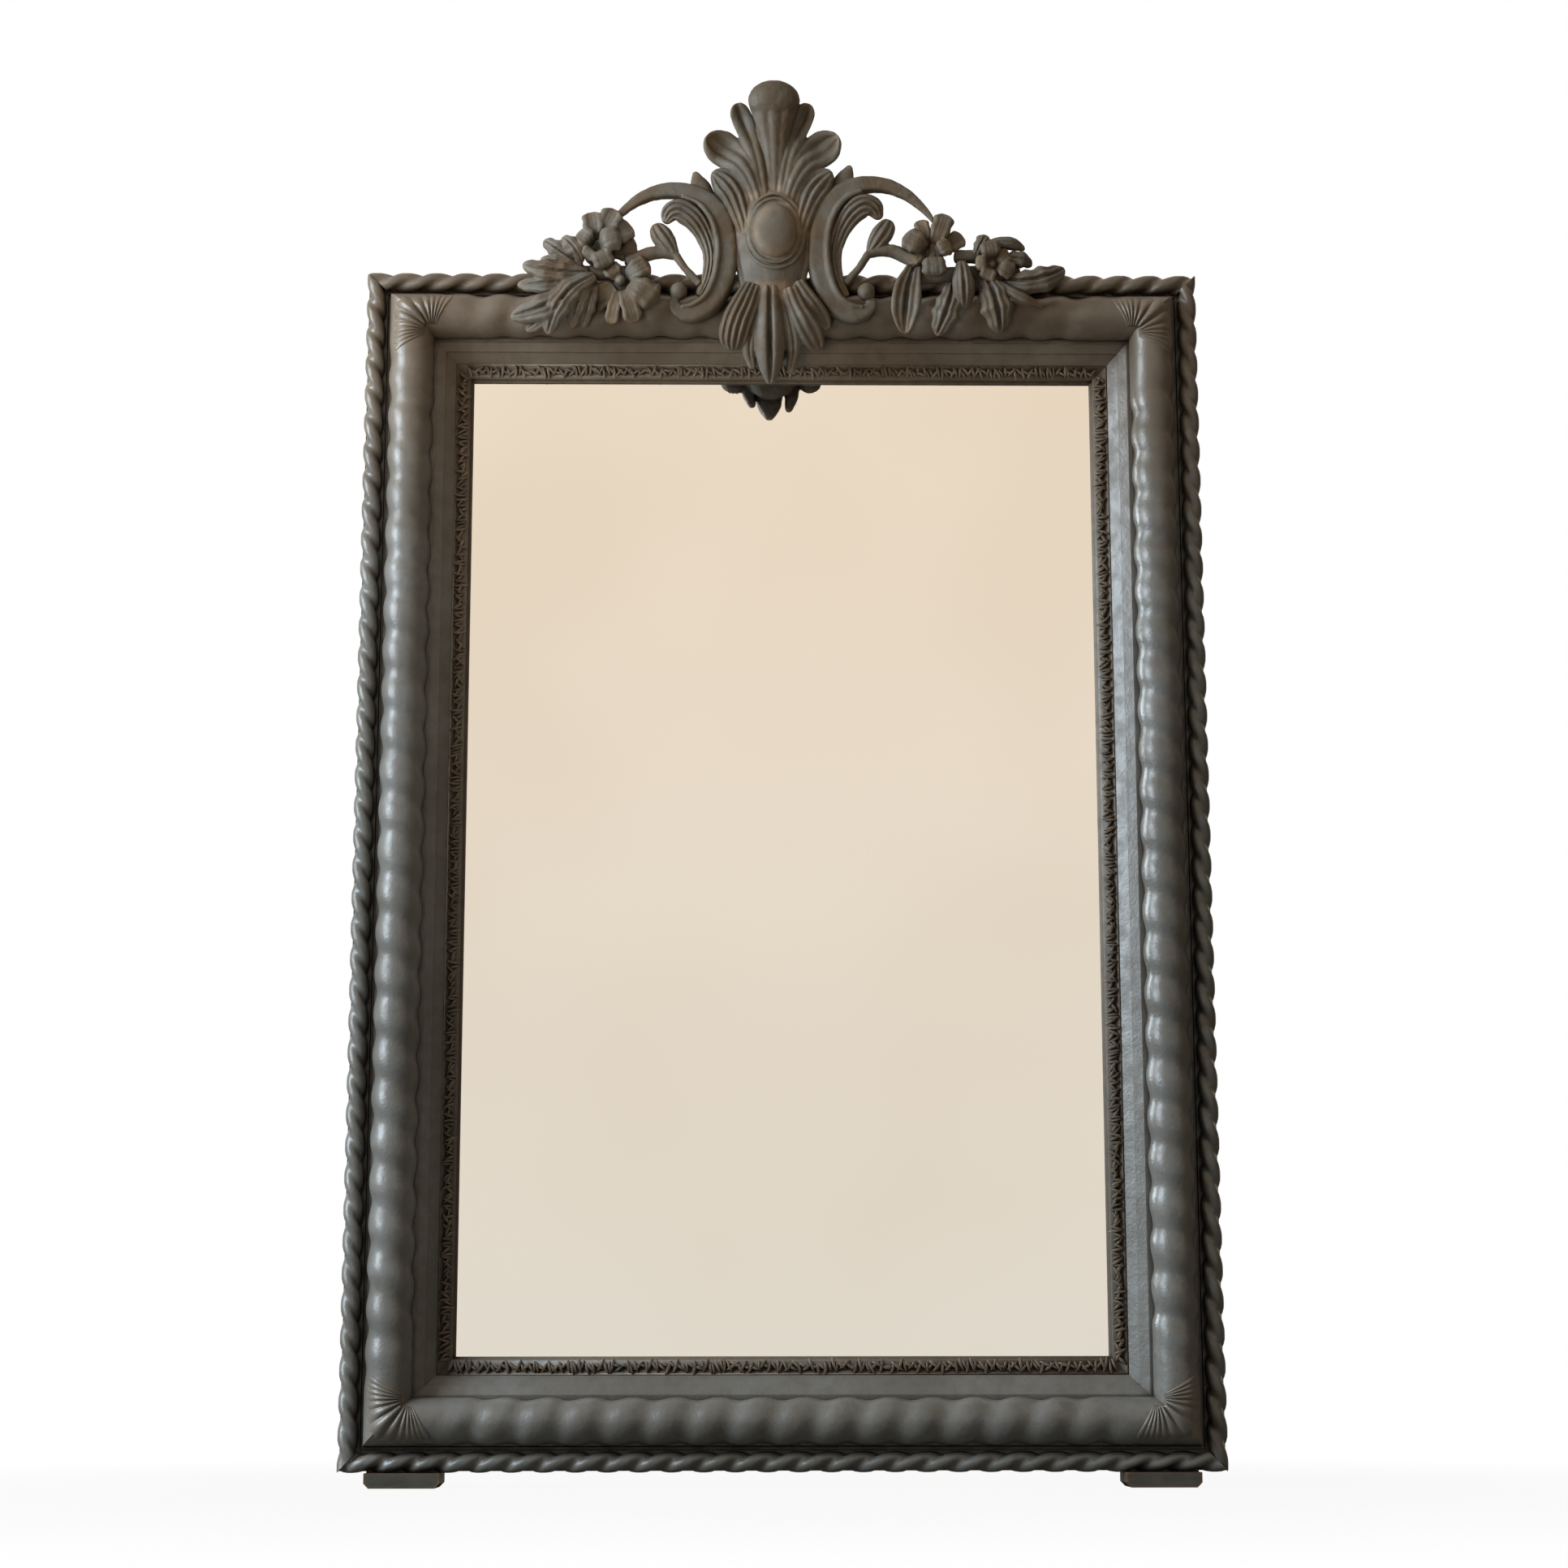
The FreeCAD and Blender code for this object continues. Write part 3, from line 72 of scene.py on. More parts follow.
frame_centre = Vector(((left_edge + right_edge) / 2, 0.0, (rope_low.z + top_edge) / 2))
half_width = (right_edge - left_edge) / 2
half_height = (top_edge - rope_low.z) / 2

# Each side: its two directions, the distance of its outer edge from the centre, and half its length
Side = namedtuple("Side", "inward along reach half")
SIDES = {
    "bottom": Side(UP, RIGHT, half_height, half_width),
    "left": Side(RIGHT, -UP, half_width, half_height),
    "top": Side(-UP, -RIGHT, half_height, half_width),
    "right": Side(-RIGHT, UP, half_width, half_height),
}


def frame_point(side, inward, depth, along):
    """A point of the frame, given from one side: inward from its edge, at this depth (Y), along it."""
    way = SIDES[side]
    return frame_centre + way.inward * (inward - way.reach) + way.along * along + Vector((0, depth, 0))


print("frame", round(2 * half_width, 3), "x", round(2 * half_height, 3), "m")

# %% [markdown]
# ## The camera
# The photograph was taken from low down, a little left of the middle, with a longish lens.
# Position and direction were found by fitting the frame's corners to the picture.

# %% Camera
CAMERA_PLACE = (-0.0423, -3.178, 0.0983)
CAMERA_PITCH = math.radians(11.087)
CAMERA_YAW = math.radians(0.786)
CAMERA_ROLL = math.radians(-0.064)
CAMERA_LENS, CAMERA_SENSOR = 70.8, 36.0


def add(name, data):
    """A new object in the scene."""
    made = bpy.data.objects.new(name, data)
    bpy.context.scene.collection.objects.link(made)
    return made


camera = add("camera", bpy.data.cameras.new("camera"))
camera.data.lens = CAMERA_LENS
camera.data.sensor_width = CAMERA_SENSOR
level = math.cos(CAMERA_PITCH)
look = Vector((math.sin(CAMERA_YAW) * level, math.cos(CAMERA_YAW) * level, math.sin(CAMERA_PITCH)))
roll = Matrix.Rotation(CAMERA_ROLL, 3, "Z").to_quaternion()
camera.rotation_mode = "QUATERNION"
camera.rotation_quaternion = look.to_track_quat("-Z", "Y") @ roll
camera.location = CAMERA_PLACE
bpy.context.scene.camera = camera
print("camera at", CAMERA_PLACE)

# %% [markdown]
# ## Writing node trees
# Materials, the world and the repeating mouldings are all small trees of nodes. One writer keeps them
# readable: it adds a node and wires its inputs by name, where an underscore stands for a space.


# %% Node writer
class NodeWriter:
    """Short ways to add nodes to a tree and to wire them."""

    def __init__(self, tree):
        self.tree = tree

    def wire(self, value, socket):
        """Link another node's output to a socket, or set the socket to a plain value."""
        if isinstance(value, bpy.types.NodeSocket):
            self.tree.links.new(value, socket)
        else:
            socket.default_value = value

    def feed(self, made, **wires):
        for key, value in wires.items():
            self.wire(value, made.inputs[key.replace("_", " ")])

    def node(self, kind, settings=None, **wires):
        made = self.tree.nodes.new(kind)
        for key, value in (settings or {}).items():
            setattr(made, key, value)
        self.feed(made, **wires)
        return made

    def in_order(self, kind, settings, *values):
        """A node whose first inputs take these values in order."""
        made = self.node(kind, settings)
        for value, socket in zip(values, made.inputs):
            self.wire(value, socket)
        return made.outputs[0]

    def maths(self, operation, *values):
        return self.in_order("ShaderNodeMath", {"operation": operation}, *values)

    def ramp(self, value, low, high):
        """A value's stretch from low to high, spread over 0 to 1 with soft ends."""
        soft = {"interpolation_type": "SMOOTHSTEP"}
        return self.node("ShaderNodeMapRange", soft, Value=value, From_Min=low, From_Max=high).outputs[0]

    def spread(self, value, low, high):
        """A pattern of 0 to 1 spread evenly between two numbers."""
        return self.node("ShaderNodeMapRange", Value=value, To_Min=low, To_Max=high).outputs[0]

    def blend(self, share, first, second):
        """First colour where share is 0, second where it is 1."""
        made = self.node("ShaderNodeMix", {"data_type": "RGBA"}, Factor=share)
        self.wire(first, made.inputs[6])
        self.wire(second, made.inputs[7])
        return made.outputs[2]

    def mix_shaders(self, share, first, second):
        return self.in_order("ShaderNodeMixShader", None, share, first, second)


# %% [markdown]
# ## Writing materials
# A material is such a tree with a surface shader at its end. Its patterns are noise on the object's own
# coordinates, and Ambient Occlusion, which finds hollows and edges without any painting by hand.

# %% Material writer
def colour(red, green, blue):
    """A paint colour given as it looks on a screen (0 to 255), turned into linear light."""
    def linear(value):
        share = value / 255
        return share / 12.92 if share <= 0.04045 else ((share + 0.055) / 1.055) ** 2.4
    return (linear(red), linear(green), linear(blue), 1.0)


class Finish(NodeWriter):
    """One material with its surface shader, and the patterns that colour it."""

    def __init__(self, name, roughness, metallic=0.0):
        self.material = bpy.data.materials.new(name)
        self.material.use_nodes = True
        super().__init__(self.material.node_tree)
        self.shader = self.tree.nodes["Principled BSDF"]
        self.coat(Roughness=roughness, Metallic=metallic)
        coordinates = self.node("ShaderNodeTexCoord").outputs
        self.place, self.facing = coordinates["Object"], coordinates["Normal"]

    def coat(self, **wires):
        """Wire inputs of the surface shader."""
        self.feed(self.shader, **wires)

    def noise(self, scale, detail=3.0, stretch=(1, 1, 1), rough=0.5):
        """A cloudy pattern, finer with a larger scale, drawn out along the small stretch axis."""
        mapped = self.node("ShaderNodeMapping", Vector=self.place, Scale=stretch).outputs[0]
        made = self.node("ShaderNodeTexNoise", Vector=mapped, Scale=scale, Detail=detail, Roughness=rough)
        return made.outputs["Fac"]

    def patches(self, low, high, **noise):
        """Noise with more contrast: 0 where it is below low, 1 where it is above high."""
        return self.ramp(self.noise(**noise), low, high)

    def stain(self, tone, share, strength, over):
        """A colour laid over the tone by a share, at most with this strength."""
        return self.blend(self.maths("MULTIPLY", share, strength), tone, over)

    def hollows(self, reach, inside=False):
        """1 in the open, falling to 0 in the hollows; with inside, falling to 0 on thin edges."""
        settings = {"samples": 6, "inside": inside}
        return self.node("ShaderNodeAmbientOcclusion", settings, Distance=reach).outputs["AO"]

    def bump(self, pattern, height, **earlier):
        """A bent normal from a pattern; an earlier bump under it is given as Normal."""
        made = self.node("ShaderNodeBump", Height=pattern, Strength=1.0, Distance=height, **earlier)
        return made.outputs["Normal"]


# %% [markdown]
# ## The old grey paint
# The whole front wears one coat of dark warm grey paint over carved wood and gesso, rubbed with wax.
# Wax grime and painted shade darken the hollows: the colour is made darker where shade falls. The raised
# edges are rubbed to a brown, and the flat grey has soft cloudy changes of tone. The paint is browner
# towards the top, and brownest and dullest on the crest.
# The backs of the rails and stiles were never painted.

# %% Grey paint
BROWN_FROM, BROWN_TO = 0.9, 1.25
ALONG_RAIL, ALONG_STILE = (0.06, 1, 1), (1, 1, 0.06)
# The third colour darkens the hollows, for wax grime and for painted shade.
SPECK, RUBBED, GRIME_AND_PAINTED_SHADE = colour(84, 71, 56), colour(132, 112, 90), colour(30, 23, 15)
SPECK_STRENGTH, GRIME_AND_SHADE_STRENGTH = 0.4, 0.88
EDGE_REACH = 6 * MM


def frame_tone(finish, cloud):
    """Grey below, browner towards the top rail."""
    grey = finish.blend(cloud, colour(96, 94, 89), colour(112, 111, 107))
    brown = finish.blend(cloud, colour(98, 86, 73), colour(116, 104, 90))
    height = finish.node("ShaderNodeSeparateXYZ", Vector=finish.place).outputs["Z"]
    return finish.blend(finish.ramp(height, BROWN_FROM, BROWN_TO), grey, brown)


def crest_tone(finish, cloud):
    """Patches of grey worn through to brown."""
    grey = finish.blend(cloud, colour(90, 85, 76), colour(106, 101, 92))
    brown = finish.blend(cloud, colour(82, 70, 56), colour(99, 85, 69))
    return finish.blend(finish.patches(0.38, 0.64, scale=24.0), grey, brown)


def wood_behind(finish, tone, grain_stretch):
    """The paint ends in brush marks at the back of the frame, where the old wood stays bare."""
    backward = finish.node("ShaderNodeSeparateXYZ", Vector=finish.facing).outputs["Y"]
    ragged = finish.spread(finish.noise(scale=30.0), -0.3, 0.3)
    behind = finish.ramp(finish.maths("ADD", backward, ragged), 0.55, 0.75)
    grain = finish.patches(0.3, 0.7, scale=140.0, detail=5.0, stretch=grain_stretch, rough=0.65)
    return finish.blend(behind, tone, finish.blend(grain, colour(92, 68, 45), colour(134, 104, 72)))


def old_paint(name, tone_of, rubbed, grime_and_shade_reach, dull=0.0, back_grain=None):
    """Waxed paint: how far its edges are rubbed, how far grime and painted shade reach, and how dull it is.
    """
    finish = Finish(name, roughness=0.45)
    speck = finish.patches(0.35, 0.75, scale=70.0)
    tone = tone_of(finish, finish.patches(0.34, 0.68, scale=9.0, detail=4.0))
    tone = finish.stain(tone, speck, SPECK_STRENGTH, SPECK)
    edge = finish.ramp(finish.hollows(EDGE_REACH, inside=True), 0.75, 0.35)
    worn = finish.maths("MULTIPLY", edge, finish.spread(speck, 1.0, 0.4))
    tone = finish.stain(tone, worn, rubbed, RUBBED)
    # Grime and painted shade: the colour darkens towards a near-black brown in the hollows that occlusion
    # finds.
    tone = finish.stain(tone, finish.ramp(finish.hollows(grime_and_shade_reach), 0.88, 0.3), GRIME_AND_SHADE_STRENGTH, GRIME_AND_PAINTED_SHADE)
    if back_grain:
        tone = wood_behind(finish, tone, back_grain)
    fine = finish.bump(finish.noise(scale=320.0, detail=2.0), 0.25 * MM)
    rough = finish.bump(finish.noise(scale=60.0, detail=4.0), 0.6 * MM, Normal=fine)
    gloss = finish.spread(speck, 0.34 + dull, 0.48 + dull)
    finish.coat(Base_Color=tone, Roughness=gloss, Normal=rough, Specular_IOR_Level=0.5 - dull)
    return finish.material


# The fourth number is how far grime and painted shade reach into the hollows.
paint = old_paint("waxed_grey_paint", frame_tone, 0.25, 14 * MM)
rail_paint = old_paint("rail_paint_and_bare_back", frame_tone, 0.25, 14 * MM, back_grain=ALONG_RAIL)
stile_paint = old_paint("stile_paint_and_bare_back", frame_tone, 0.25, 14 * MM, back_grain=ALONG_STILE)
crest_paint = old_paint("worn_crest_paint", crest_tone, 0.6, 22 * MM, dull=0.2)
slip_paint = old_paint("rubbed_slip_paint", frame_tone, 0.75, 6 * MM, dull=0.1)
print("made", paint.name, rail_paint.name, stile_paint.name, crest_paint.name, slip_paint.name)

# %% [markdown]
# ## Bare wood, worn feet and steel
# Behind the glass sit plain softwood boards, brown with age, in three tones. The feet were painted too,
# but their edges have rubbed back to brown wood. Hangers, nails and screws are dulled mild steel.

# %% Wood and steel
def bare_wood(name, pale, dark, grain_stretch=ALONG_RAIL):
    finish = Finish(name, roughness=0.75)
    grain = finish.patches(0.28, 0.72, scale=150.0, detail=6.0, stretch=grain_stretch, rough=0.65)
    tone = finish.blend(grain, dark, pale)
    tone = finish.stain(tone, finish.patches(0.35, 0.7, scale=4.0), 0.45, colour(70, 51, 33))
    finish.coat(Base_Color=tone, Normal=finish.bump(grain, 0.4 * MM))
    return finish.material


def worn_foot(name):
    finish = Finish(name, roughness=0.55)
    cloud = finish.patches(0.3, 0.7, scale=40.0, detail=4.0)
    grain = finish.patches(0.3, 0.7, scale=90.0, detail=4.0, stretch=(0.15, 1, 1))
    coat = finish.blend(cloud, colour(56, 54, 46), colour(72, 70, 60))
    wood = finish.blend(grain, colour(82, 56, 34), colour(118, 84, 54))
    edge = finish.hollows(5 * MM, inside=True)
    worn = finish.ramp(finish.maths("ADD", edge, finish.spread(cloud, -0.12, 0.12)), 0.62, 0.42)
    finish.coat(Base_Color=finish.blend(worn, coat, wood), Normal=finish.bump(grain, 0.3 * MM))
    return finish.material


def dull_steel(name):
    finish = Finish(name, roughness=0.4, metallic=1.0)
    cloud = finish.patches(0.35, 0.72, scale=160.0, detail=4.0)
    finish.coat(
        Base_Color=finish.blend(cloud, colour(150, 146, 138), colour(98, 86, 72)),
        Roughness=finish.spread(cloud, 0.28, 0.6),
        Normal=finish.bump(finish.noise(scale=500.0), 0.1 * MM),
    )
    return finish.material


board_woods = [
    bare_wood("aged_board_brown", colour(166, 128, 87), colour(112, 80, 50)),
    bare_wood("aged_board_pale", colour(182, 147, 104), colour(130, 96, 62)),
    bare_wood("aged_board_dark", colour(149, 112, 74), colour(98, 69, 43)),
]
block_wood = bare_wood("aged_cleat_and_blocks", colour(152, 116, 78), colour(100, 72, 45), (1, 1, 0.08))
foot_paint = worn_foot("rubbed_foot_paint")
steel = dull_steel("dull_steel")


# %% Dress the plain solids
def plain_finish(name):
    """The finish of a plain solid, found from its name."""
    if name.startswith("back_board_") and not name.endswith("nails"):
        return board_woods[int(name.split("_")[2]) % len(board_woods)]
    if name in ("crest_cleat", "crest_backplate", "glazing_blocks", "mitre_keys"):
        return block_wood
    if name.endswith("_foot"):
        return foot_paint
    if name.endswith(("_nails", "_screws", "_strap", "_ring")):
        return steel
    return stile_paint if name.endswith("_stile") else rail_paint


def wear(piece, finish):
    piece.data.materials.clear()
    piece.data.materials.append(finish)


for name, node in nodes.items():
    wear(node, plain_finish(name))
print("finishes on the plain solids are set")

# %% [markdown]
# ## The looking glass
# Old plate glass is silvered on its back. A fully metallic, nearly smooth surface gives the mirror, and
# a faint cloudy change in tint and gloss stops it looking like a computer's perfect one.

# %% Looking glass
silver = Finish("silvered_glass", roughness=0.012, metallic=1.0)
cloud = silver.patches(0.35, 0.7, scale=2.2, detail=2.0)
silver.coat(
    Base_Color=silver.blend(cloud, colour(246, 244, 240), colour(241, 238, 232)),
    Roughness=silver.spread(cloud, 0.008, 0.02),
)
wear(nodes["mirror_glass"], silver.material)
print("made", silver.material.name)

# %% [markdown]
# ## Writing geometry-node recipes
# The frame's mouldings are rules: a bar that winds, a leaf that repeats. Geometry Nodes holds such a
# rule with its sizes as named inputs. This writer adds the inputs, and afterwards the result is turned
# into a plain mesh that stays with the frame.


# %% Recipe writer
class Recipe(NodeWriter):
    """A geometry-node tree with a mesh, numbers, vectors and a finish as named inputs."""

    def __init__(self, name, numbers, vectors):
        super().__init__(bpy.data.node_groups.new(name, "GeometryNodeTree"))
        self.names = {}
        self.tree.interface.new_socket(name="Geometry", in_out="OUTPUT", socket_type="NodeSocketGeometry")
        inputs = {"Geometry": ["Geometry"], "Float": numbers, "Vector": vectors, "Material": ["Finish"]}
        for kind, labels in inputs.items():
            for label in labels:
                made = self.tree.interface.new_socket(
                    name=label, in_out="INPUT", socket_type=f"NodeSocket{kind}")
                self.names[label] = made.identifier
        self.given = self.tree.nodes.new("NodeGroupInput").outputs
        self.result = self.tree.nodes.new("NodeGroupOutput").inputs[0]

    def times(self, vector, number):
        scale = {"operation": "SCALE"}
        return self.node("ShaderNodeVectorMath", scale, Vector=vector, Scale=number).outputs[0]

    def plus(self, total, *vectors):
        for vector in vectors:
            total = self.in_order("ShaderNodeVectorMath", {"operation": "ADD"}, total, vector)
        return total

    def end(self, geometry):
        """Close the tree: real meshes instead of instances, and the finish on all of it."""
        real = self.node("GeometryNodeRealizeInstances", Geometry=geometry).outputs[0]
        done = self.node("GeometryNodeSetMaterial", Geometry=real, Material=self.given["Finish"])
        self.wire(done.outputs[0], self.result)

    def make(self, name, values, start=None):
        """Run the tree with these values and keep what it makes as a plain mesh object."""
        piece = add(name, start or bpy.data.meshes.new(name))
        modifier = piece.modifiers.new("recipe", "NODES")
        modifier.node_group = self.tree
        for label, value in values.items():
            modifier[self.names[label]] = value
        return settle(piece)


def settle(piece):
    """Replace a piece's live modifiers by the plain mesh that they make."""
    state = bpy.context.evaluated_depsgraph_get()
    state.update()
    plain = bpy.data.meshes.new_from_object(piece.evaluated_get(state))
    piece.modifiers.clear()
    piece.data = plain
    plain.name = piece.name
    return piece


def dress(piece, finish, *stands_for):
    """Give a carved piece its finish and its place in the frame."""
    wear(piece, finish)
    piece.data.shade_smooth()
    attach(piece, "frame")
    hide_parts(*stands_for)
    print(piece.name, len(piece.data.polygons), "faces")


# %% [markdown]
# ## Rope and torsade
# The outer edge is a carved rope of two strands, and the big round moulding carries a wide slanting
# twist that fades out under the corner leaves. Both are one rule: a round bar whose radius dips where
# the strands meet, and whose ends are cut at 45 degrees. So one tree sweeps a circle along a line and
# moves each point by that rule, once for each side of the frame.

# %% The winding rule
def winding_recipe():
    recipe = Recipe(
        "winding_moulding",
        ("Half Length", "Reach", "Radius", "Inset", "Centre Depth", "Seat Depth", "Pitch", "Strands",
         "Relief", "Keenness", "Smooth End", "Full Twist", "Rings", "Sides"),
        ("Inward", "Along", "Centre"),
    )
    given, maths = recipe.given, recipe.maths
    line = recipe.node("GeometryNodeCurvePrimitiveLine", Start=(0, 0, -1), End=(0, 0, 1))
    line = recipe.node("GeometryNodeResampleCurve", Curve=line.outputs[0], Count=given["Rings"])
    ring = recipe.node("GeometryNodeCurvePrimitiveCircle", Radius=1.0, Resolution=given["Sides"])
    bar = recipe.node("GeometryNodeCurveToMesh", Curve=line.outputs[0], Profile_Curve=ring.outputs[0],
                      Fill_Caps=True)
    spot = recipe.node("GeometryNodeInputPosition").outputs[0]
    across, out, share = recipe.node("ShaderNodeSeparateXYZ", Vector=spot).outputs
    angle = maths("ARCTAN2", out, across)
    # Place along the bar, shortened towards the inner edge so that the ends meet in a mitre
    inset = maths("ADD", given["Inset"], maths("MULTIPLY", across, given["Radius"]))
    room = maths("SUBTRACT", given["Half Length"], inset)
    along = maths("MULTIPLY", share, room)
    # The groove's depth there, fading out towards the ends
    turns = maths("MULTIPLY", maths("DIVIDE", along, given["Pitch"]), 2 * math.pi)
    phase = maths("SUBTRACT", turns, maths("MULTIPLY", angle, given["Strands"]))
    valley = maths("MULTIPLY", maths("ADD", maths("COSINE", phase), 1.0), 0.5)
    groove = maths("POWER", valley, given["Keenness"])
    to_end = maths("SUBTRACT", room, maths("ABSOLUTE", along))
    fade = recipe.ramp(to_end, given["Smooth End"], given["Full Twist"])
    dip = maths("MULTIPLY", maths("MULTIPLY", groove, given["Relief"]), fade)
    radius = maths("SUBTRACT", given["Radius"], dip)
    # The point's new place on the frame
    inward = maths("ADD", given["Inset"], maths("MULTIPLY", across, radius))
    depth = maths("SUBTRACT", given["Centre Depth"], maths("MULTIPLY", out, radius))
    depth = maths("MINIMUM", depth, given["Seat Depth"])
    along = maths("MULTIPLY", share, maths("SUBTRACT", given["Half Length"], inward))
    place = recipe.plus(
        given["Centre"], recipe.node("ShaderNodeCombineXYZ", Y=depth).outputs[0],
        recipe.times(given["Along"], along),
        recipe.times(given["Inward"], maths("SUBTRACT", inward, given["Reach"])),
    )
    moved = recipe.node("GeometryNodeSetPosition", Geometry=bar.outputs[0], Position=place)
    recipe.end(moved.outputs[0])
    return recipe


winding = winding_recipe()
RINGS_PER_PITCH = 30


def winding_moulding(side, kind, shape):
    """One side's length of rope or torsade; shape holds the sizes that belong to the kind."""
    way = SIDES[side]
    values = {
        **shape, "Inward": way.inward, "Along": way.along, "Centre": frame_centre, "Reach": way.reach,
        "Half Length": way.half, "Rings": float(int(2 * way.half / shape["Pitch"] * RINGS_PER_PITCH)),
    }
    dress(winding.make(f"{side}_{kind}_carved", values), paint, f"{side}_{kind}")


# %% [markdown]
# The rope's strands are tight and deep, the torsade's are broad and soft. Radius and seat are read from
# the boxes of the solids they stand for. A negative number of strands winds the other way, and a smooth
# end of less than nothing lets the rope's twist run right into the corner.

# %% Carve the rope and the torsade
ROPE_CENTRE_DEPTH = 8 * MM

rope_radius = (rope_high.z - rope_low.z) / 2
rope_shape = {
    "Radius": rope_radius, "Inset": rope_radius, "Centre Depth": ROPE_CENTRE_DEPTH,
    "Seat Depth": rope_high.y, "Pitch": 32.3 * MM, "Strands": -2.0, "Relief": 4.0 * MM, "Keenness": 1.7,
    "Smooth End": -1.0, "Full Twist": -0.9, "Sides": 26.0,
}
round_radius = (round_high.z - round_low.z) / 2
round_shape = {
    "Radius": round_radius, "Inset": (round_high.z + round_low.z) / 2 - rope_low.z,
    "Centre Depth": round_low.y + round_radius, "Seat Depth": round_high.y,
    "Pitch": 43 * MM, "Strands": -1.0, "Relief": 3.2 * MM, "Keenness": 1.3,
    "Smooth End": 40 * MM, "Full Twist": 96 * MM, "Sides": 40.0,
}
for side in SIDES:
    winding_moulding(side, "rope", rope_shape)
    winding_moulding(side, "torsade", round_shape)

# %% [markdown]
# ## The carved sight slip
# Round the glass runs a narrow flat slip with a thin dark lip and a row of tiny slanting leaves.
# The slip itself is a section swept along each side with mitred ends. The leaves repeat hundreds of
# times, so one small leaf of 27 faces is instanced along a line.

# %% A skin over rings
def skin(rings):
    """Closed mesh over a row of rings of points, both ends filled."""
    rings = np.asarray(rings, float)
    count, size, _ = rings.shape
    index = np.arange(count * size).reshape(count, size)
    near, far = index[:-1], index[1:]
    quads = np.stack([near, np.roll(near, -1, 1), np.roll(far, -1, 1), far], -1).reshape(-1, 4)
    faces = [tuple(quad) for quad in quads.tolist()]
    faces.append(tuple(index[0][::-1].tolist()))
    faces.append(tuple(index[-1].tolist()))
    return rings.reshape(-1, 3), faces


def mesh_of(name, *shells):
    """One mesh from several closed skins, with its faces turned outwards."""
    points, faces, count = [], [], 0
    for shell_points, shell_faces in shells:
        points.append(shell_points)
        faces.extend(tuple(corner + count for corner in face) for face in shell_faces)
        count += len(shell_points)
    mesh = bpy.data.meshes.new(name)
    mesh.from_pydata(np.concatenate(points).tolist(), [], faces)
    mesh.validate()
    work = bmesh.new()
    work.from_mesh(mesh)
    bmesh.ops.recalc_face_normals(work, faces=work.faces)
    work.to_mesh(mesh)
    work.free()
    return mesh


# %% Slip section and leaf
LIP_WIDTH, LIP_RISE = 3 * MM, 3 * MM
SLIP_HOLLOW = 1.6 * MM
SLIP_LEAF_LENGTH, SLIP_LEAF_HALF, SLIP_LEAF_RISE = 14.5 * MM, 2.2 * MM, 3.6 * MM

slip_edge = slip_low.z - rope_low.z
slip_end = slip_edge + (slip_high.z - slip_low.z)
face_end = slip_end - LIP_WIDTH
slip_front, slip_back = slip_low.y, slip_high.y
lip_front = slip_back - LIP_RISE


def slip_section():
    """The slip's section as (inward, depth) pairs: flat back, gently hollow face, thin lip."""
    row = [(slip_edge, slip_back), (slip_edge, slip_front)]
    for share in np.linspace(0.1, 0.9, 7):
        hollow = SLIP_HOLLOW * math.sin(math.pi * share)
        row.append((slip_edge + share * (face_end - slip_edge), slip_front + hollow))
    row += [(face_end, slip_front + 0.5 * SLIP_HOLLOW), (face_end, lip_front)]
    return row + [(slip_end, lip_front), (slip_end, slip_back)]


def slip_body(side):
    half = SIDES[side].half
    return skin([
        [frame_point(side, inward, depth, end * (half - inward)) for inward, depth in slip_section()]
        for end in (-1, 1)
    ])


def slip_leaf():
    """A small curled leaf lying along X with its face along -Y."""
    rings = []
    for share in (0.0, 0.18, 0.42, 0.68, 0.88, 1.0):
        half = SLIP_LEAF_HALF * max(0.12, math.sin(math.pi * (0.12 + 0.83 * share)))
        curl = SLIP_LEAF_HALF * 0.9 * share ** 2
        rise = SLIP_LEAF_RISE * (0.35 + 0.65 * math.sin(math.pi * share))
        x = SLIP_LEAF_LENGTH * (share - 0.5)
        rings.append([(x, 0, curl - half), (x, -rise, curl - 0.35 * half), (x, -0.72 * rise, curl),
                      (x, -rise, curl + 0.35 * half), (x, 0, curl + half)])
    return mesh_of("slip_leaf", skin(rings))


leaf_object = bpy.data.objects.new("slip_leaf", slip_leaf())
print("slip", round(slip_end - slip_edge, 4), "m wide; leaf faces", len(leaf_object.data.polygons))

# %% [markdown]
# The tree takes the swept slip, draws a line along its middle, and sets a leaf on every point, leaning
# to either side in an uneven order. A fixed seed varies size, lean and place, as a carver's hand would.

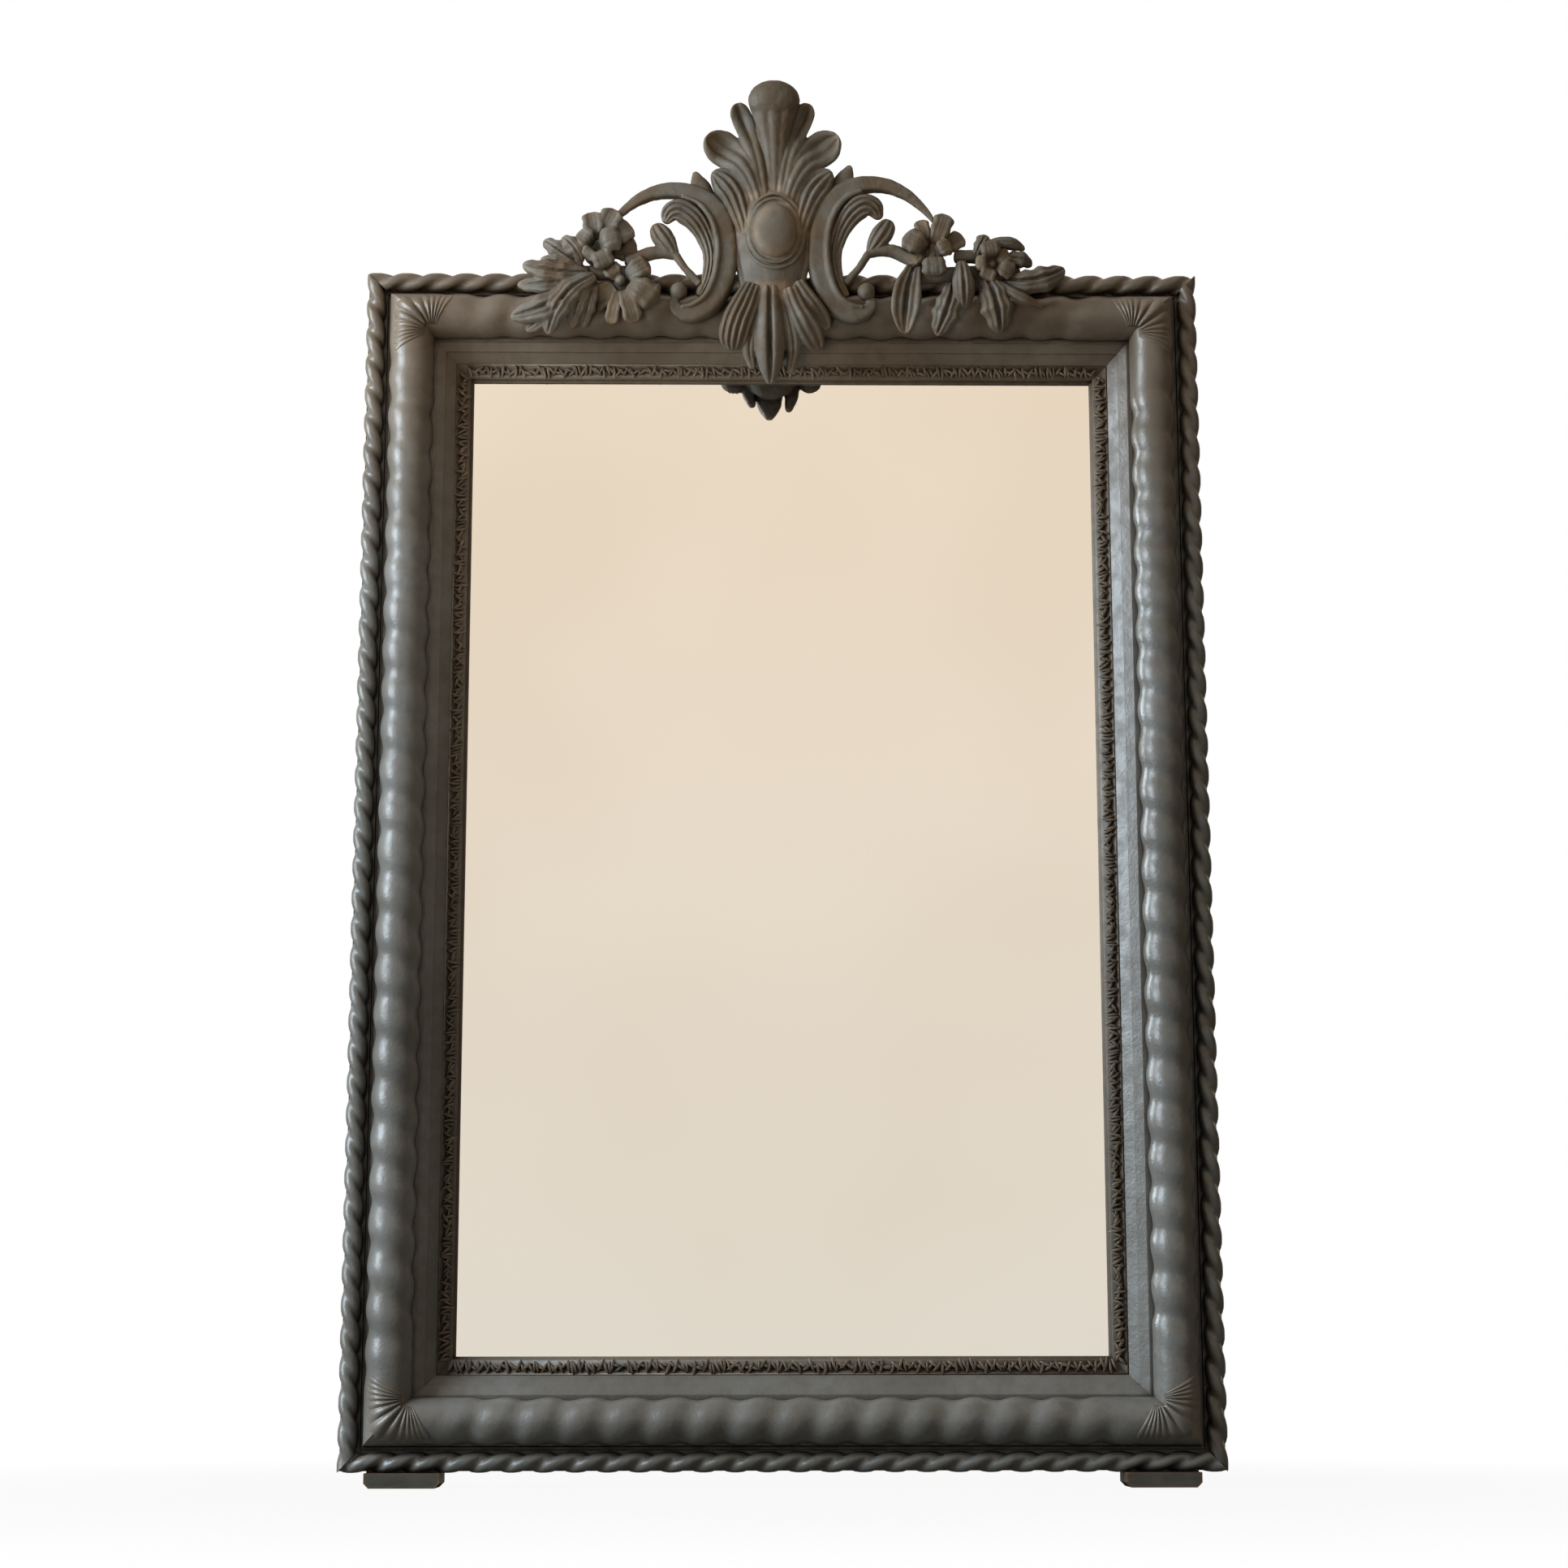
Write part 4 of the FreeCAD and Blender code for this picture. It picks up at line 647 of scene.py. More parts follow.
# %% Slip tree
def slip_recipe():
    recipe = Recipe("leafed_slip", ("Spacing", "Lean", "Turn", "Seed"), ("Start", "End", "Stray"))
    given, maths = recipe.given, recipe.maths

    def chance(shift, low, high):
        """A random number for each leaf."""
        made = recipe.node("FunctionNodeRandomValue", Seed=maths("ADD", given["Seed"], shift))
        recipe.wire(low, made.inputs[2])
        recipe.wire(high, made.inputs[3])
        return made.outputs[1]

    line = recipe.node("GeometryNodeCurvePrimitiveLine", Start=given["Start"], End=given["End"])
    dots = recipe.node("GeometryNodeCurveToPoints", {"mode": "LENGTH"}, Curve=line.outputs[0],
                       Length=given["Spacing"])
    order = recipe.node("GeometryNodeInputIndex").outputs[0]
    # Which way each leaf leans, in an uneven round of five
    way = maths("GREATER_THAN", maths("MODULO", maths("MULTIPLY", order, 2.0), 5.0), 1.5)
    lean = maths("MULTIPLY", given["Lean"], maths("SUBTRACT", maths("MULTIPLY", way, 2.0), 1.0))
    length = chance(0.0, 0.8, 1.12)
    sway = chance(10.0, -0.7, 0.7)
    shift = chance(20.0, -1.0, 1.0)
    dots = recipe.node("GeometryNodeSetPosition", Geometry=dots.outputs[0],
                       Offset=recipe.times(given["Stray"], shift))
    tilt = maths("ADD", maths("ADD", given["Turn"], lean), sway)
    spin = recipe.node("ShaderNodeCombineXYZ", Y=tilt).outputs[0]
    size = recipe.node("ShaderNodeCombineXYZ", X=length, Y=1.0, Z=length).outputs[0]
    leaf = recipe.node("GeometryNodeObjectInfo", Object=leaf_object).outputs["Geometry"]
    placed = recipe.node("GeometryNodeInstanceOnPoints", Points=dots.outputs[0], Instance=leaf,
                         Rotation=spin, Scale=size)
    both = recipe.node("GeometryNodeJoinGeometry", Geometry=given["Geometry"])
    recipe.wire(placed.outputs[0], both.inputs[0])
    recipe.end(both.outputs[0])
    return recipe


# %% Carve the slips
SIDE_TURNS = {"bottom": 0.0, "left": math.pi / 2, "top": math.pi, "right": -math.pi / 2}
SLIP_LEAF_SPACING, SLIP_LEAF_STRAY = 3.8 * MM, 1.8 * MM
SLIP_LEAF_LEAN = math.radians(60)

leafed_slip = slip_recipe()
middle = (slip_edge + face_end) / 2
leaf_depth = slip_front + SLIP_HOLLOW
for number, side in enumerate(SIDES):
    reach = SIDES[side].half - middle - SLIP_LEAF_LENGTH / 2
    values = {
        "Spacing": SLIP_LEAF_SPACING, "Lean": SLIP_LEAF_LEAN, "Turn": SIDE_TURNS[side],
        "Seed": float(number), "Stray": SIDES[side].inward * SLIP_LEAF_STRAY,
        "Start": frame_point(side, middle, leaf_depth, -reach),
        "End": frame_point(side, middle, leaf_depth, reach),
    }
    name = f"{side}_slip_carved"
    dress(leafed_slip.make(name, values, mesh_of(name, slip_body(side))), slip_paint, f"{side}_slip")
bpy.data.objects.remove(leaf_object)

# %% [markdown]
# ## The clasping corner leaves
# At each corner a leaf wraps the round moulding. Its flutes start at the inner corner and fan out to a
# scalloped edge on the outer side. The leaf is a polar sheet laid on the mitred round moulding: each
# point takes the moulding's height there, plus the thickness of the leaf and its flutes.

# %% Corner leaves
FLUTE_COUNT, FLUTE_STEPS, FAN_STEPS = 13, 12, 22
FAN_SPREAD = math.radians(150)
# The fan's inner and outer ends, in radii of the moulding from its middle, and its longest flute
FAN_ROOT, FAN_COVER, FAN_LONGEST = 0.96, 0.74, 1.28
SCALLOP, BOLD_WIDTH = 0.1, 0.12
SHEET_THICKNESS, SHEET_DEPTH = 0.6 * MM, 7 * MM
FLUTE_RISE = 2.2 * MM
MITRE_SOFTNESS = 9 * MM


def round_depth(first, second):
    """Depth of the round moulding's face, given the distances from the two outer edges at a corner."""
    gap = max(MITRE_SOFTNESS - abs(first - second), 0.0) / MITRE_SOFTNESS
    inset = min(first, second) - gap * gap * MITRE_SOFTNESS * 0.25
    off = min(abs(inset - round_shape["Inset"]), round_radius)
    rise = math.sqrt(max(round_radius ** 2 - off ** 2, 0.0))
    return min(round_shape["Centre Depth"] - rise, round_shape["Seat Depth"])


def corner_leaf(side_way, up_way, corner):
    """A fan of flutes on one corner; the two ways point inwards from the frame's outer corner."""
    hub = round_shape["Inset"] + FAN_ROOT * round_radius
    length = (FAN_ROOT + FAN_COVER) * round_radius
    rings = []
    for share in np.linspace(0, 1, FLUTE_COUNT * FLUTE_STEPS + 1):
        angle = math.pi / 4 + (share - 0.5) * FAN_SPREAD
        along, up = math.cos(angle), math.sin(angle)
        # Flutes are broad and bold on the mitre line and finer towards both sides
        place = share + 0.5 * math.sin(2 * math.pi * share) / (2 * math.pi)
        flute = abs(math.sin(math.pi * FLUTE_COUNT * place)) ** 0.8
        bold = 1 + math.exp(-((share - 0.5) / BOLD_WIDTH) ** 2)
        limit = length * min(1 / max(abs(along), abs(up)), FAN_LONGEST) * (1 - SCALLOP + SCALLOP * flute)
        side_fade = min(1.0, 6 * min(share, 1 - share))
        face, under = [], []
        for reach in np.linspace(0, 1, FAN_STEPS + 1):
            radius = limit * (0.2 + 0.8 * reach)
            first, second = hub - radius * along, hub - radius * up
            depth = round_depth(first, second)
            # Flutes swell between root and edge, and the sheet thins towards its edge and its sides
            swell = math.sin(math.pi * min(1, 0.15 + 0.9 * reach)) ** 0.6
            rise = SHEET_THICKNESS + FLUTE_RISE * bold * flute * swell
            rise *= min(1.0, 5 * (1 - reach) + 0.25) * (0.35 + 0.65 * side_fade)
            point = corner + side_way * first + up_way * second
            face.append(point + Vector((0, depth - rise, 0)))
            under.append(point + Vector((0, depth + SHEET_DEPTH, 0)))
        rings.append(face + under[::-1])
    return skin(rings)


for rail, up_way, z in (("bottom", UP, rope_low.z), ("top", -UP, top_edge)):
    for side, side_way, x in (("left", RIGHT, left_edge), ("right", -RIGHT, right_edge)):
        name = f"{rail}_{side}_leaf"
        mesh = mesh_of(f"{name}_carved", corner_leaf(side_way, up_way, Vector((x, 0, z))))
        dress(add(f"{name}_carved", mesh), paint, name)

# %% [markdown]
# ## Tools for carving the crest
# The crest is all leaves, petals, stems and scrolls, and each of those is a blade: a line through a few
# points with a half width at each, a rounded face and back, and perhaps a vein, a hollow or flutes.
# Places are thousandths of the crest's height from the middle of the frame's top edge, and a row reads
# (right, up, forward, half width). Joined blades are fused with a voxel remesh, softened, and pushed
# about a little by a cloudy pattern, which gives the thick hand-cut look of gesso and paint.

# %% Blades
SCROLL_FORWARD = 45
THINNEST = 2
VEIN_WIDTH = 0.14
SPOON_FROM, SPOON_TO = 0.45, 0.8
FORWARD = np.array((0.0, -1.0, 0.0))

cabochon_low, cabochon_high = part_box("cabochon")
crest_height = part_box("palmette")[1].z - top_edge
crest_x = (cabochon_low.x + cabochon_high.x) / 2
crest_unit = crest_height / 1000
crest_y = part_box("left_scroll")[0].y + SCROLL_FORWARD * crest_unit


def smooth_rows(rows, count):
    """Even steps along a smooth curve through the rows (points with their half widths)."""
    rows = np.asarray(rows, float)
    rows = np.vstack([2 * rows[0] - rows[1], rows, 2 * rows[-1] - rows[-2]])
    runs = len(rows) - 3
    place = np.linspace(0, runs, count)
    start = np.minimum(place.astype(int), runs - 1)
    t = (place - start)[:, None]
    a, b, c, d = (rows[start + step] for step in range(4))
    curve = 2 * b + (c - a) * t + (2 * a - 5 * b + 4 * c - d) * t ** 2 + (3 * b - a - 3 * c + d) * t ** 3
    return 0.5 * curve


def crest_points(places):
    """Places (right, up, forward) on the crest turned into metres."""
    right, up, forward = np.moveaxis(np.asarray(places, float), -1, 0) * crest_unit
    return np.stack([crest_x + right, crest_y - forward, top_edge + up], -1)


def soft_step(value, low, high):
    share = np.clip((value - low) / (high - low), 0, 1)
    return share * share * (3 - 2 * share)


def blade(rows, crown=0.3, edge=0.28, back=0.35, vein=0.0, hollow=0.0, spoon=0.0, flutes=0, flute=0.0,
          tip=0.6, root=0.3, teeth=0, tooth=0.0, steps=44, across=14):
    """A closed leaf, petal or band over rows of (right, up, forward, half width).

    In half widths: crown is the face's swell, edge and back its thickness, and vein, hollow, spoon and
    flute cut into it. Tip and root round off the ends, and teeth notch the edge by the share tooth.
    """
    line = smooth_rows(rows, steps)
    points = crest_points(line[:, :3])
    # Half widths, rounded off at root and tip and toothed along the edge
    half = np.maximum(line[:, 3], THINNEST) * crest_unit
    along = np.concatenate([[0], np.cumsum(np.linalg.norm(np.diff(points, axis=0), axis=1))])
    for distance, amount in ((along, root), (along[-1] - along, tip)):
        short = np.clip(1 - distance / np.maximum(amount * half, 1e-5), 0, 1)
        half = half * np.sqrt(np.clip(1 - short ** 2, 0.0009, 1))
    share = along / along[-1]
    half = half * (1 - tooth * np.abs(np.cos(math.pi * teeth * share)) ** 1.5)
    dips = spoon * soft_step(share, SPOON_FROM, SPOON_TO)
    # The section's face and back, for w from -1 at one edge to 1 at the other
    w = -np.cos(np.linspace(0, math.pi, across + 1))
    rim = np.sqrt(np.clip(1 - w ** 4, 0, 1))
    dome = 1 - w ** 2
    face = edge * rim + crown * dome - vein * np.exp(-(w / VEIN_WIDTH) ** 2) - hollow * dome ** 2
    if flutes:
        face = face + flute * rim * (np.abs(np.sin(math.pi * flutes * (w + 1) / 2)) - 1)
    # The section set square to the line, turning with it as little as it can
    heading = np.gradient(points, axis=0)
    heading /= np.linalg.norm(heading, axis=1)[:, None]
    side = np.cross(heading[0], FORWARD)
    rings = []
    for point, ahead, width, dip in zip(points, heading, half, dips):
        side = side - ahead * side.dot(ahead)
        side /= np.linalg.norm(side)
        normal = np.cross(side, ahead)
        middle_line = point + np.outer(w * width, side)
        front = middle_line + np.outer((face - dip * dome) * width, normal)
        rear = middle_line + np.outer((-back * rim - dip * dome) * width, normal)
        rings.append(np.concatenate([front, rear[-2:0:-1]]))
    return skin(rings)


def once_round(count):
    """Even angles once round a circle."""
    return np.linspace(0, 2 * math.pi, count, endpoint=False)


def ball(x, z, forward, radius, flat=1.0, low=1.0):
    """A round knob; flat and low stretch it forward and upward."""
    centre = crest_points((x, z, forward))
    size = radius * crest_unit * np.array((1.0, flat, low))
    return skin([
        [centre + size * (math.sin(tilt) * math.cos(turn), -math.sin(tilt) * math.sin(turn), math.cos(tilt))
         for turn in once_round(24)]
        for tilt in np.linspace(0.04, math.pi - 0.04, 15)
    ])


def mirrored(rows):
    """The same rows for the other side of the crest."""
    return [(-x, z, forward, half) for x, z, forward, half in rows]


# %% Carving
HAND_CUT_DEPTH, HAND_CUT_SIZE = 1.2 * MM, 9 * MM
COARSE, FINE = 0.9 * MM, 0.8 * MM

hand_cut = bpy.data.textures.new("hand_cut", "CLOUDS")
hand_cut.noise_scale = HAND_CUT_SIZE


def carved(name, shells, voxel=COARSE):
    """Fuse skins into one carved piece that stands for the node of that name."""
    piece = add(f"{name}_carved", mesh_of(f"{name}_carved", *shells))
    fuse = piece.modifiers.new("fuse", "REMESH")
    fuse.mode = "VOXEL"
    fuse.voxel_size = voxel
    soften = piece.modifiers.new("soften", "SMOOTH")
    soften.factor = 0.5
    soften.iterations = 2
    uneven = piece.modifiers.new("hand_cut", "DISPLACE")
    uneven.texture = hand_cut
    uneven.texture_coords = "LOCAL"
    uneven.strength = HAND_CUT_DEPTH
    uneven.mid_level = 0.5
    dress(settle(piece), crest_paint, name)


print("crest", round(crest_height, 3), "m high at x", round(crest_x, 4))

# %% [markdown]
# ## Cartouche and cabochon
# The heart of the crest is a swelling shield with an oval polished boss set in a double ring. The shield
# is one wide blade that dives under the palmette at its top, on a thick core that meets the backing
# block. Each ring is a bead that follows an oval, and a rib runs down both borders, so that the leaf
# above seems to flow into the leaf below.

# %% Cartouche and cabochon
SHIELD = [
    (0, -340, 20, 100), (0, -200, 30, 150), (0, -80, 30, 172), (0, 80, 30, 205), (0, 200, 25, 218),
    (0, 320, 0, 220), (0, 450, -60, 190),
]
SHIELD_CORE = (-10, 250, -36, 130, 0.66, 2.2)
# How far the beads fall back with the shield, times the square of their distance from its middle
SHIELD_FALL = 0.0016
BORDER_RIB = [
    (150, 360, 55, 20), (200, 220, 50, 24), (192, 50, 45, 24), (155, -100, 45, 22), (130, -260, 50, 18),
]
OVAL_RIGHT, OVAL_UP = 12, 135
# Each bead: half width and half height of its oval, how far forward, and how thick
BEAD_ROWS = ((156, 204, 117, 9), (133, 176, 123, 7))
BOSS_HALF = (114, 152)
BOSS_EDGE, BOSS_RISE = 106, 56


def oval(half_x, half_z, turn):
    return OVAL_RIGHT + half_x * math.cos(turn), OVAL_UP + half_z * math.sin(turn)


def oval_bead(half_x, half_z, forward, thick):
    """A round bead along an oval that lies on the shield, lower at its two sides."""
    rings = []
    for turn in np.linspace(0, 2 * math.pi, 73):
        x, z = oval(half_x, half_z, turn)
        centre = np.array((x, z, forward - SHIELD_FALL * x * x))
        out = np.array((math.cos(turn) / half_x, math.sin(turn) / half_z, 0.0))
        out /= np.linalg.norm(out)
        ring = [centre + thick * (math.cos(a) * out + (0, 0, math.sin(a))) for a in once_round(10)]
        rings.append(crest_points(ring))
    return skin(rings)


def boss():
    """The cabochon: ovals that shrink as they rise."""
    rings = []
    for share in np.linspace(0, 1, 15):
        half, rise = math.cos(share * math.pi / 2), math.sin(share * math.pi / 2)
        ovals = [oval(BOSS_HALF[0] * half, BOSS_HALF[1] * half, turn) for turn in once_round(48)]
        rings.append(crest_points([(x, z, BOSS_EDGE + BOSS_RISE * rise) for x, z in ovals]))
    return skin(rings)


carved("cartouche", [
    blade(SHIELD, crown=0.34, edge=0.14, back=0.3, tip=0.2, root=0.2, across=26),
    *(oval_bead(*row) for row in BEAD_ROWS),
    ball(*SHIELD_CORE),
    *(blade(rib, crown=0.35, edge=0.3, back=1.2) for rib in (BORDER_RIB, mirrored(BORDER_RIB))),
])
dress(add("cabochon_carved", mesh_of("cabochon_carved", boss())), crest_paint, "cabochon")

# %% [markdown]
# ## The palmette
# Above the shield opens a shell-like leaf of seven tongues. The middle one nods forward and rolls over
# at its top. The two pairs beside it end in hollow spoons, and the lowest pair is finely fluted.
# Every tongue is broad right down to its root, so no daylight shows between them.

# %% Palmette
HOOD = [
    (12, 300, 75, 30), (12, 470, 85, 48), (11, 630, 90, 74), (10, 750, 92, 104), (9, 830, 94, 130),
    (8, 885, 96, 130), (8, 930, 100, 100),
]
HOOD_ROLL = (8, 864, 100, 137, 0.54, 0.8)
UPPER_TONGUE = [
    (45, 300, 85, 30), (75, 500, 85, 45), (118, 670, 70, 53), (160, 780, 65, 56), (190, 855, 90, 42),
]
SPOON_TONGUE = [
    (60, 270, 80, 40), (105, 420, 80, 56), (165, 525, 66, 78), (235, 597, 55, 94), (300, 643, 66, 88),
    (345, 672, 90, 55),
]
LOWER_TONGUE = [
    (130, 130, 65, 45), (160, 250, 68, 64), (197, 355, 60, 80), (250, 428, 55, 78), (315, 478, 75, 40),
]
palmette_parts = [
    blade(HOOD, crown=0.34, edge=0.2, back=0.3, flutes=3, flute=0.07, tip=0.6, root=0.2, across=26),
    ball(*HOOD_ROLL),
]
for way in (list, mirrored):
    palmette_parts += [
        blade(way(UPPER_TONGUE), edge=0.34, back=0.6, spoon=0.7, flutes=2, flute=0.2, tip=1.0, across=20),
        blade(way(SPOON_TONGUE), edge=0.36, back=0.5, spoon=0.72, flutes=3, flute=0.16, tip=1.0, across=26),
        blade(way(LOWER_TONGUE), edge=0.3, back=0.7, flutes=4, flute=0.26, tip=1.0, across=30),
    ]
carved("palmette", palmette_parts)

# %% [markdown]
# ## The hanging leaf
# Below the shield hangs a cluster of leaves that laps down over the round moulding and the slip: a
# pointed middle leaf with a deep vein, a narrow one on each of its sides, one broad fluted leaf turning
# out to the left and two smaller ones to the right. A plain bed behind them closes the gaps.

# %% Hanging leaf
LEAF_BED = [
    (0, -120, 30, 150), (0, -250, 55, 165), (0, -380, 50, 165), (0, -480, 20, 120), (0, -550, -10, 60),
]
MIDDLE_DROP = [
    (-12, -150, 80, 50), (-14, -300, 112, 66), (-13, -450, 100, 80), (-11, -570, 60, 64),
    (-10, -665, 0, 20),
]
BROAD_DROP = [
    (-95, -140, 70, 55), (-135, -250, 100, 75), (-178, -355, 100, 86), (-200, -440, 75, 80),
    (-202, -495, 35, 50),
]
NARROW_DROPS = (
    [(45, -200, 85, 35), (90, -360, 95, 40), (110, -490, 70, 42), (92, -615, 20, 16)],
    [(-60, -200, 85, 35), (-100, -360, 90, 40), (-118, -490, 65, 40), (-100, -590, 20, 16)],
)
RIGHT_DROPS = (
    [(85, -160, 75, 45), (130, -290, 100, 58), (190, -400, 90, 68), (245, -490, 40, 45)],
    [(125, -120, 60, 40), (180, -220, 80, 50), (240, -305, 75, 52), (290, -378, 45, 28)],
)
carved("pendant_leaf", [
    blade(LEAF_BED, crown=0.2, edge=0.15, back=0.62),
    blade(MIDDLE_DROP, crown=0.42, edge=0.2, back=0.6, vein=0.4, flutes=2, flute=0.12, tip=1.1, across=24),
    blade(BROAD_DROP, crown=0.28, edge=0.3, back=0.6, flutes=5, flute=0.26, tip=0.9, across=34),
    *(blade(rows, crown=0.4, edge=0.25, back=0.7, vein=0.3, tip=1.1) for rows in NARROW_DROPS),
    *(blade(rows, edge=0.32, back=0.6, spoon=0.4, flutes=3, flute=0.22, tip=1.0, across=24)
      for rows in RIGHT_DROPS),
])

# %% [markdown]
# ## The C-scrolls
# Two broad bands curl away from the shield, each ending in a small ball below and thinning to a tail
# above. A thin rib along the inner edge makes the second line that catches the light. The right half of
# the crest stands a little higher towards its top than the left one.

# %% Scrolls
BAND = [
    (-490, -200, 45, 22), (-515, -232, 45, 28), (-488, -276, 45, 36), (-429, -300, 45, 42),
    (-353, -262, 45, 54), (-295, -190, 45, 62), (-256, -80, 45, 64), (-246, 30, 45, 64),
    (-254, 140, 45, 66), (-286, 245, 45, 68), (-350, 322, 45, 60), (-430, 368, 45, 50),
    (-520, 388, 42, 42), (-610, 378, 38, 36), (-690, 345, 34, 30), (-750, 303, 30, 24),
    (-810, 245, 30, 17), (-850, 190, 30, 10),
]
INNER_RIB = [
    (-475, -262, 60, 12), (-410, -250, 68, 14), (-345, -200, 75, 15), (-302, -100, 78, 16),
    (-284, 20, 78, 16), (-292, 125, 78, 16), (-325, 225, 76, 16), (-390, 305, 70, 15),
    (-475, 345, 62, 12),
]
LEAFLET = [(-335, 330, 30, 50), (-380, 415, 30, 50), (-410, 495, 30, 12)]
KNOB = (-488, -176, 50, 46)
RIGHT_LIFT, LIFT_FROM, LIFT_RUN = 40, -200, 600


def right_hand(rows):
    """Left-hand rows turned to the right side and lifted, more so towards the top."""
    return [
        (-x, z + RIGHT_LIFT * min(max(z - LIFT_FROM, 0.0) / LIFT_RUN, 1.0), forward, half)
        for x, z, forward, half in rows
    ]


HANDS = {"left": list, "right": right_hand}
for side, hand in HANDS.items():
    carved(f"{side}_scroll", [
        blade(hand(BAND), crown=0.14, edge=0.45, back=1.6, hollow=0.1, tip=0.5, root=0.5, steps=120,
              across=20),
        blade(hand(INNER_RIB), crown=0.5, edge=0.5, back=2.0, steps=90, across=8),
        blade(hand(LEAFLET), crown=0.25, edge=0.25, back=0.4, tip=0.8),
        ball(*hand([KNOB])[0]),
    ])

# %% [markdown]
# ## Leaves and buds inside the scrolls
# Along the inside of each scroll grows a fluted leaf. It starts thin beside the ball, widens as it
# climbs, and curls over at its tip. A bud on a thin stem rises to meet it, and a branch leads from the
# bud's foot to the flowers.

# %% Scroll leaves and buds
CURLED_LEAF = [
    (-385, -200, 30, 22), (-340, -100, 35, 32), (-325, 20, 40, 38), (-353, 130, 45, 48),
    (-408, 218, 55, 60), (-474, 264, 60, 64), (-530, 254, 55, 56), (-565, 200, 45, 18),
]
STEM = [(-375, -130, 30, 20), (-450, -50, 35, 20), (-507, 35, 35, 22)]
BUD = [(-503, 25, 35, 20), (-545, 85, 45, 50), (-585, 142, 48, 56), (-615, 200, 40, 30)]
BRANCH = [(-500, 30, 30, 26), (-580, 45, 30, 32), (-650, 35, 30, 36), (-770, -20, 30, 40)]
for side, hand in HANDS.items():
    carved(f"{side}_scroll_leaf", [
        blade(hand(CURLED_LEAF), crown=0.2, edge=0.34, back=0.45, flutes=4, flute=0.3, steps=80, across=32),
    ], FINE)
    carved(f"{side}_bud", [
        *(blade(hand(rows), crown=0.4, edge=0.6, back=0.8) for rows in (STEM, BRANCH)),
        blade(hand(BUD), crown=0.4, edge=0.3, back=0.5, flutes=3, flute=0.3, tip=0.7, across=24),
    ], FINE)

# %% [markdown]
# ## Flowers
# The flowers were carved freely: each has a deep dark throat and petals of its own lengths, some turned
# to the viewer and some away. A petal is a short wide blade. It first rises out of the throat, then
# opens outwards, and its face is hollowed like a spoon or swells like a cushion.

# %% Flowers
# Along a petal: share of its length, share of its height, share of its half width
PETAL_ROWS = ((0.2, 0.0, 0.42), (0.45, 1.0, 0.85), (0.8, 0.8, 1.0), (1.0, 0.0, 0.8))
PETAL_FULL = 1.12
THROAT_DEPTH, THROAT_RADIUS = 75, 70


def petal(x, z, forward, angle, reach, half, rise, fall, dish):
    """One petal from a throat at (x, z): its direction, length, half width, height and tip height."""
    out_x, out_z = math.cos(math.radians(angle)), math.sin(math.radians(angle))
    rows = []
    for way, up, width in PETAL_ROWS:
        lift = forward + up * rise + (1 - up) * fall * soft_step(way, 0.4, 0.9)
        rows.append((x + way * reach * out_x, z + way * reach * out_z, lift, PETAL_FULL * width * half))
    return blade(rows, crown=-dish, edge=0.32, back=0.4, vein=0.08, flutes=3, flute=0.1, tip=0.7, root=0.4,
                 teeth=3, tooth=0.12, steps=36, across=24)


# Each flower: its throat (right, up, forward), the knob in it, and its petals
# (direction in degrees, length, half width, height, tip height, dish)
FLOWERS = {
    "left_upper_flower": ((-918, 64, 35), 0, (
        (145, 120, 60, 50, 40, 0.1), (98, 200, 54, 30, 10, 0.2), (66, 235, 58, 25, 10, 0.2),
        (36, 225, 64, 15, -20, 0.25), (3, 215, 66, -15, -40, 0.3), (18, 135, 70, 75, 60, -0.2),
        (-65, 130, 58, 60, 30, -0.1), (232, 85, 50, 45, 20, 0.0),
    )),
    "left_lower_flower": ((-790, -114, 30), 30, (
        (-33, 235, 72, 65, 50, -0.15), (-72, 250, 48, 65, 35, 0.1), (-102, 240, 36, 25, 0, 0.1),
        (216, 200, 68, 0, -30, 0.35), (32, 175, 58, 40, 20, -0.05), (130, 110, 50, 30, 20, 0.1),
    )),
    "right_upper_flower": ((832, 33, 30), 0, (
        (71, 235, 52, 35, 20, 0.05), (106, 215, 38, 0, -20, 0.15), (146, 175, 64, 50, 35, -0.05),
        (182, 135, 55, 25, 0, 0.15), (34, 205, 50, 0, -20, 0.2), (22, 110, 50, 55, 40, -0.1),
        (-85, 140, 66, 80, 60, -0.18),
    )),
    "right_outer_flower": ((1145, -25, 45), 26, (
        (98, 120, 55, 55, 45, -0.1), (180, 90, 42, 45, 30, 0.0), (-25, 125, 50, 45, 20, 0.1),
        (-110, 105, 43, 45, 30, 0.0), (32, 115, 42, 30, 0, 0.1), (-68, 100, 40, 20, 0, 0.1),
    )),
}
for name, ((x, z, forward), knob, petals) in FLOWERS.items():
    shells = [ball(x, z, forward - THROAT_DEPTH, THROAT_RADIUS)]
    if knob:
        shells.append(ball(x, z, forward + 0.5 * knob, knob))
    shells += [petal(x, z, forward, *row) for row in petals]
    carved(name, shells, FINE)

# %% [markdown]
# ## The side sprays
# On each side a spray of veined leaves fans down from the flowers over the frame's top edge. The two
# sides are of one kind but were carved freely, so each has its own list of leaves. A leaf bows to one
# side, and has a deep vein, lengthwise flutes and mostly a toothed edge.

# %% Sprays
# Along a leaf: share of its length, share of its half width, rise
SPRAY_ROWS = ((0.0, 0.45, 0), (0.35, 0.95, 30), (0.7, 1.0, 30), (1.0, 0.35, -10))
STEM_RISE = 15


def spray_stem(start, end, half):
    (x0, z0), (x1, z1) = start, end
    rows = [(x0, z0, 0.0, half), ((x0 + x1) / 2, (z0 + z1) / 2, STEM_RISE, half), (x1, z1, 0.0, half)]
    return blade(rows, crown=0.3, edge=0.6, back=0.9)


